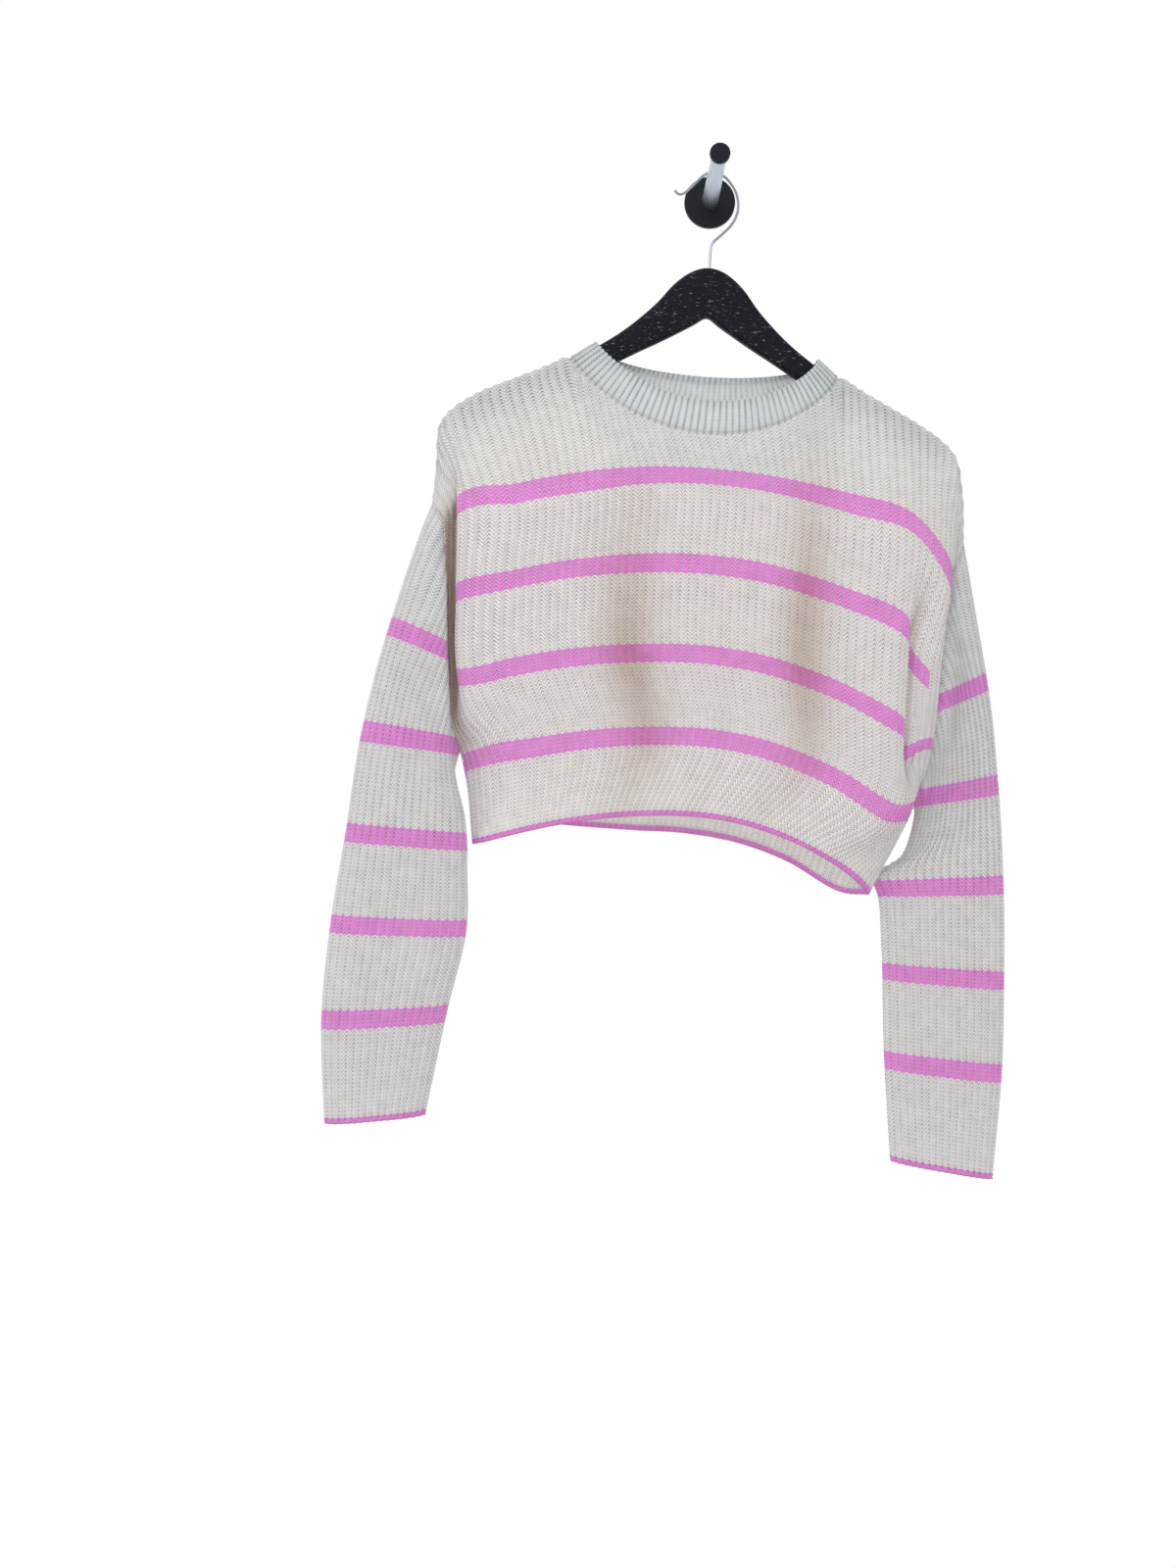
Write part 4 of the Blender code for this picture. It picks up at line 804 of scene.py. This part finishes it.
def band_surface(ribs, rows):
    """Middle of the neckband on a grid; ribs run from the left shoulder over the front."""
    ribs = np.mod(np.asarray(ribs, float), NECK_RIBS)
    seam, edge = np.empty((len(ribs), 3)), np.empty((len(ribs), 3))
    for index, rib in enumerate(ribs):
        panel, cut = (FRONT, FRONT_BAND) if rib <= HALF_BAND else (BACK, BACK_BAND)
        at = np.array([neck_rib(panel, rib)])
        seam[index] = top_edge(at, panel.neckline)[0]
        across = 2 * (at[0] - NECK_LEFT) / (NECK_RIGHT - NECK_LEFT) - 1
        across = math.copysign(abs(across) ** BAND_SPREAD, across)
        open_neck = float(dome(across))
        edge[index] = (BAND_EDGE_MIDDLE + BAND_EDGE_HALF * across,
                       cut.depth * open_neck**NECK_DEPTH_SHAPE,
                       BAND_EDGE_Z - cut.drop * open_neck**cut.drop_shape)
    out = np.zeros_like(seam)
    out[:, 1] = np.sign(seam[:, 1])
    rows = np.asarray(rows, float)[:, None, None]
    bulge = BAND_BULGE * 4 * rows * (1 - rows)
    return seam[None] * (1 - rows) + edge[None] * rows + out[None] * bulge


BAND_ROWS = 19                          # rows of the mesh from the seam to the free edge
CHAIN_AT, CHAIN_WIDTH = 2.4, 1.3        # the linking chain, a darker cord at the band's base
CHAIN_SHADE, CHAIN_RAISE = 0.5, 0.5
BAND_FADE = 2.0                         # the relief fades in over these mm from the seam
band_knit = knit_material("band_knit", 0.2, 0.9)
ribs = rib_line(NECK_RIBS)
points = band_surface(ribs, np.linspace(0, 1, BAND_ROWS))
down = run_down(points)
chain = hill(down, CHAIN_AT, CHAIN_WIDTH)
# The whole band takes the full painted cool shade
tone = np.stack([CHAIN_SHADE * chain, np.ones(down.shape), np.zeros(down.shape)], axis=2)
fade = np.clip(down / BAND_FADE, 0, 1) + CHAIN_RAISE * chain
neckband = knit("neckband_knit", points, ribs, down / COURSE, -1, fade, tone, band_knit, closed=True)
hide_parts("neckband")

# ------------------------------------------------------------------ hanger
# A flat wooden hanger, cut from board, rounded on its edges and stained black over open grain.
# It hangs on its hook, and the sweater's shoulders lie over it.  Its two halves are alike.
# One half of its outline: the heights of its top and bottom edge, from the middle to the end.
Edge = namedtuple("Edge", "x top bottom")
HANGER_EDGES = (
    Edge(0, -77.6, -122), Edge(11, -79.8, -128.5), Edge(22.5, -86.5, -135.5),
    Edge(33.5, -96.8, -142), Edge(44, -110, -148), Edge(56, -122.5, -154.5), Edge(72, -137, -163.5),
    Edge(98, -155.8, -179), Edge(121, -170.4, -193), Edge(147, -182, -205),
    Edge(173, -193.8, -217), Edge(197, -205.8, -228), Edge(208, -213.0, -233),
    Edge(214.5, -218.6, -235), Edge(218.5, -223.6, -235.5), Edge(220.5, -227.5, -233),
)
HANGER_HALF_THICKNESS, HANGER_ROUND = 5.5, 4.0
SECTION_TURNS = np.linspace(0, 90, 7)
END_FROM = 200                          # past this x the sections lie closer, round the end


def hanger_section(x, top, bottom):
    """A rounded rectangle across the hanger at one place along it."""
    radius = min(HANGER_ROUND, (top - bottom) / 2.2)
    section = []
    for y_sign, z_sign, turns in ((1, 1, SECTION_TURNS), (-1, 1, SECTION_TURNS[::-1]),
                                  (-1, -1, SECTION_TURNS), (1, -1, SECTION_TURNS[::-1])):
        for turn in np.radians(turns):
            y = HANGER_HALF_THICKNESS - radius + radius * math.cos(turn)
            z = (top - bottom) / 2 - radius + radius * math.sin(turn)
            section.append((x * MM, y_sign * y * MM, ((top + bottom) / 2 + z_sign * z) * MM))
    return section


# The top and bottom edge as smooth curves, level at the middle because its neighbour is mirrored.
beside = HANGER_EDGES[1]
knots = [Edge(-beside.x, beside.top, beside.bottom)] + list(HANGER_EDGES)
fine = np.concatenate([np.linspace(0, END_FROM, 101), np.linspace(END_FROM, HANGER_EDGES[-1].x, 16)[1:]])
edges = curve([edge.x for edge in knots], [(edge.top, edge.bottom) for edge in knots], fine)
sections = [hanger_section(-x, *e) for x, e in zip(fine[:0:-1], edges[:0:-1])]
sections += [hanger_section(x, *e) for x, e in zip(fine, edges)]
around = len(sections[0])
vertices = [point for section in sections for point in section]
faces = []
for first in range(0, len(vertices) - around, around):
    for one in range(around):
        two = (one + 1) % around
        faces.append((first + one, first + two, first + around + two, first + around + one))
faces += [tuple(range(around))[::-1], tuple(range(len(vertices) - around, len(vertices)))]
mesh = bpy.data.meshes.new("hanger_wood")
mesh.from_pydata(vertices, [], faces)
mesh.transform(HANGER_PLACE)
mesh.shade_smooth()
hanger = bpy.data.objects.new("hanger_wood", mesh)
bpy.context.scene.collection.objects.link(hanger)
bpy.ops.object.select_all(action="DESELECT")
bpy.context.view_layer.objects.active = hanger
hanger.select_set(True)
bpy.ops.object.mode_set(mode="EDIT")
bpy.ops.mesh.select_all(action="SELECT")
bpy.ops.mesh.normals_make_consistent(inside=False)
bpy.ops.object.mode_set(mode="OBJECT")
mesh.set_sharp_from_angle(angle=math.radians(50))
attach(hanger, "root")
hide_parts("hanger")

black_wood = bpy.data.materials.new("black_wood")
black_wood.use_nodes = True
nodes, links = black_wood.node_tree.nodes, black_wood.node_tree.links
wood = nodes["Principled BSDF"]
place = nodes.new("ShaderNodeTexCoord")
stretch = nodes.new("ShaderNodeMapping")
stretch.inputs["Rotation"].default_value = (0, 0, -HANG_TURN)
stretch.inputs["Scale"].default_value = (160, 900, 900)
links.new(place.outputs["Object"], stretch.inputs["Vector"])
pores = nodes.new("ShaderNodeTexNoise")
pores.inputs["Scale"].default_value = 1.0
pores.inputs["Detail"].default_value = 3.0
pores.inputs["Roughness"].default_value = 0.6
links.new(stretch.outputs[0], pores.inputs["Vector"])
flecks = nodes.new("ShaderNodeValToRGB")
flecks.color_ramp.elements[0].position = 0.62
flecks.color_ramp.elements[0].color = (0.002, 0.004, 0.008, 1)
flecks.color_ramp.elements[1].position = 0.72
flecks.color_ramp.elements[1].color = (0.22, 0.22, 0.22, 1)
links.new(pores.outputs["Fac"], flecks.inputs["Fac"])
links.new(flecks.outputs["Color"], wood.inputs["Base Color"])
wood.inputs["Roughness"].default_value = 0.42
wood.inputs["Specular IOR Level"].default_value = 0.14
grain = nodes.new("ShaderNodeBump")
grain.inputs["Strength"].default_value = 0.25
grain.inputs["Distance"].default_value = 0.0004
links.new(pores.outputs["Fac"], grain.inputs["Height"])
links.new(grain.outputs["Normal"], wood.inputs["Normal"])
mesh.materials.append(black_wood)

# ------------------------------------------------------------------ hook and peg
# The hook is a thin polished wire, bent round and set in the hanger's top.  It hangs on a peg: a
# brushed steel rod with a black plastic cap, on a round black plate that is fixed to the wall.
# Their CAD shapes stay, and take these finishes.
HARD_GLOSS, HARD_RELIEF, HARD_RELIEF_DEPTH = 0.18, 0.12, 0.0002
SMOOTHER, ROUGHER = 0.1, 0.12           # how far the roughness goes down and up along the streaks
Finish = namedtuple("Finish", "node name colour roughness metallic streaks")
FINISHES = (
    Finish("hanger_hook", "polished_wire", (0.30, 0.32, 0.36, 1), 0.26, 1.0, (900, 900, 900)),
    Finish("peg_rod", "brushed_steel", (0.52, 0.57, 0.65, 1), 0.32, 1.0, (2500, 60, 2500)),
    Finish("peg_plate", "black_plastic", (0.003, 0.006, 0.010, 1), 0.45, 0.0, (1400, 1400, 1400)),
    Finish("peg_cap", "black_cap", (0.004, 0.006, 0.010, 1), 0.4, 0.0, (1400, 1400, 1400)),
)


def hard_material(finish):
    """A hard finish with fine streaks of uneven roughness."""
    material = bpy.data.materials.new(finish.name)
    material.use_nodes = True
    nodes, links = material.node_tree.nodes, material.node_tree.links
    shader = nodes["Principled BSDF"]
    shader.inputs["Base Color"].default_value = finish.colour
    shader.inputs["Metallic"].default_value = finish.metallic
    shader.inputs["Specular IOR Level"].default_value = HARD_GLOSS
    mapping = nodes.new("ShaderNodeMapping")
    mapping.inputs["Scale"].default_value = finish.streaks
    links.new(nodes.new("ShaderNodeTexCoord").outputs["Object"], mapping.inputs["Vector"])
    noise = nodes.new("ShaderNodeTexNoise")
    noise.inputs["Scale"].default_value = 1.0
    noise.inputs["Detail"].default_value = 4.0
    links.new(mapping.outputs[0], noise.inputs["Vector"])
    spread = nodes.new("ShaderNodeMapRange")
    spread.inputs["To Min"].default_value = finish.roughness - SMOOTHER
    spread.inputs["To Max"].default_value = finish.roughness + ROUGHER
    links.new(noise.outputs["Fac"], spread.inputs["Value"])
    links.new(spread.outputs[0], shader.inputs["Roughness"])
    bump = nodes.new("ShaderNodeBump")
    bump.inputs["Strength"].default_value = HARD_RELIEF
    bump.inputs["Distance"].default_value = HARD_RELIEF_DEPTH
    links.new(noise.outputs["Fac"], bump.inputs["Height"])
    links.new(bump.outputs["Normal"], shader.inputs["Normal"])
    return material


for finish in FINISHES:
    piece = bpy.data.objects[finish.node]
    piece.data.materials.clear()
    piece.data.materials.append(hard_material(finish))
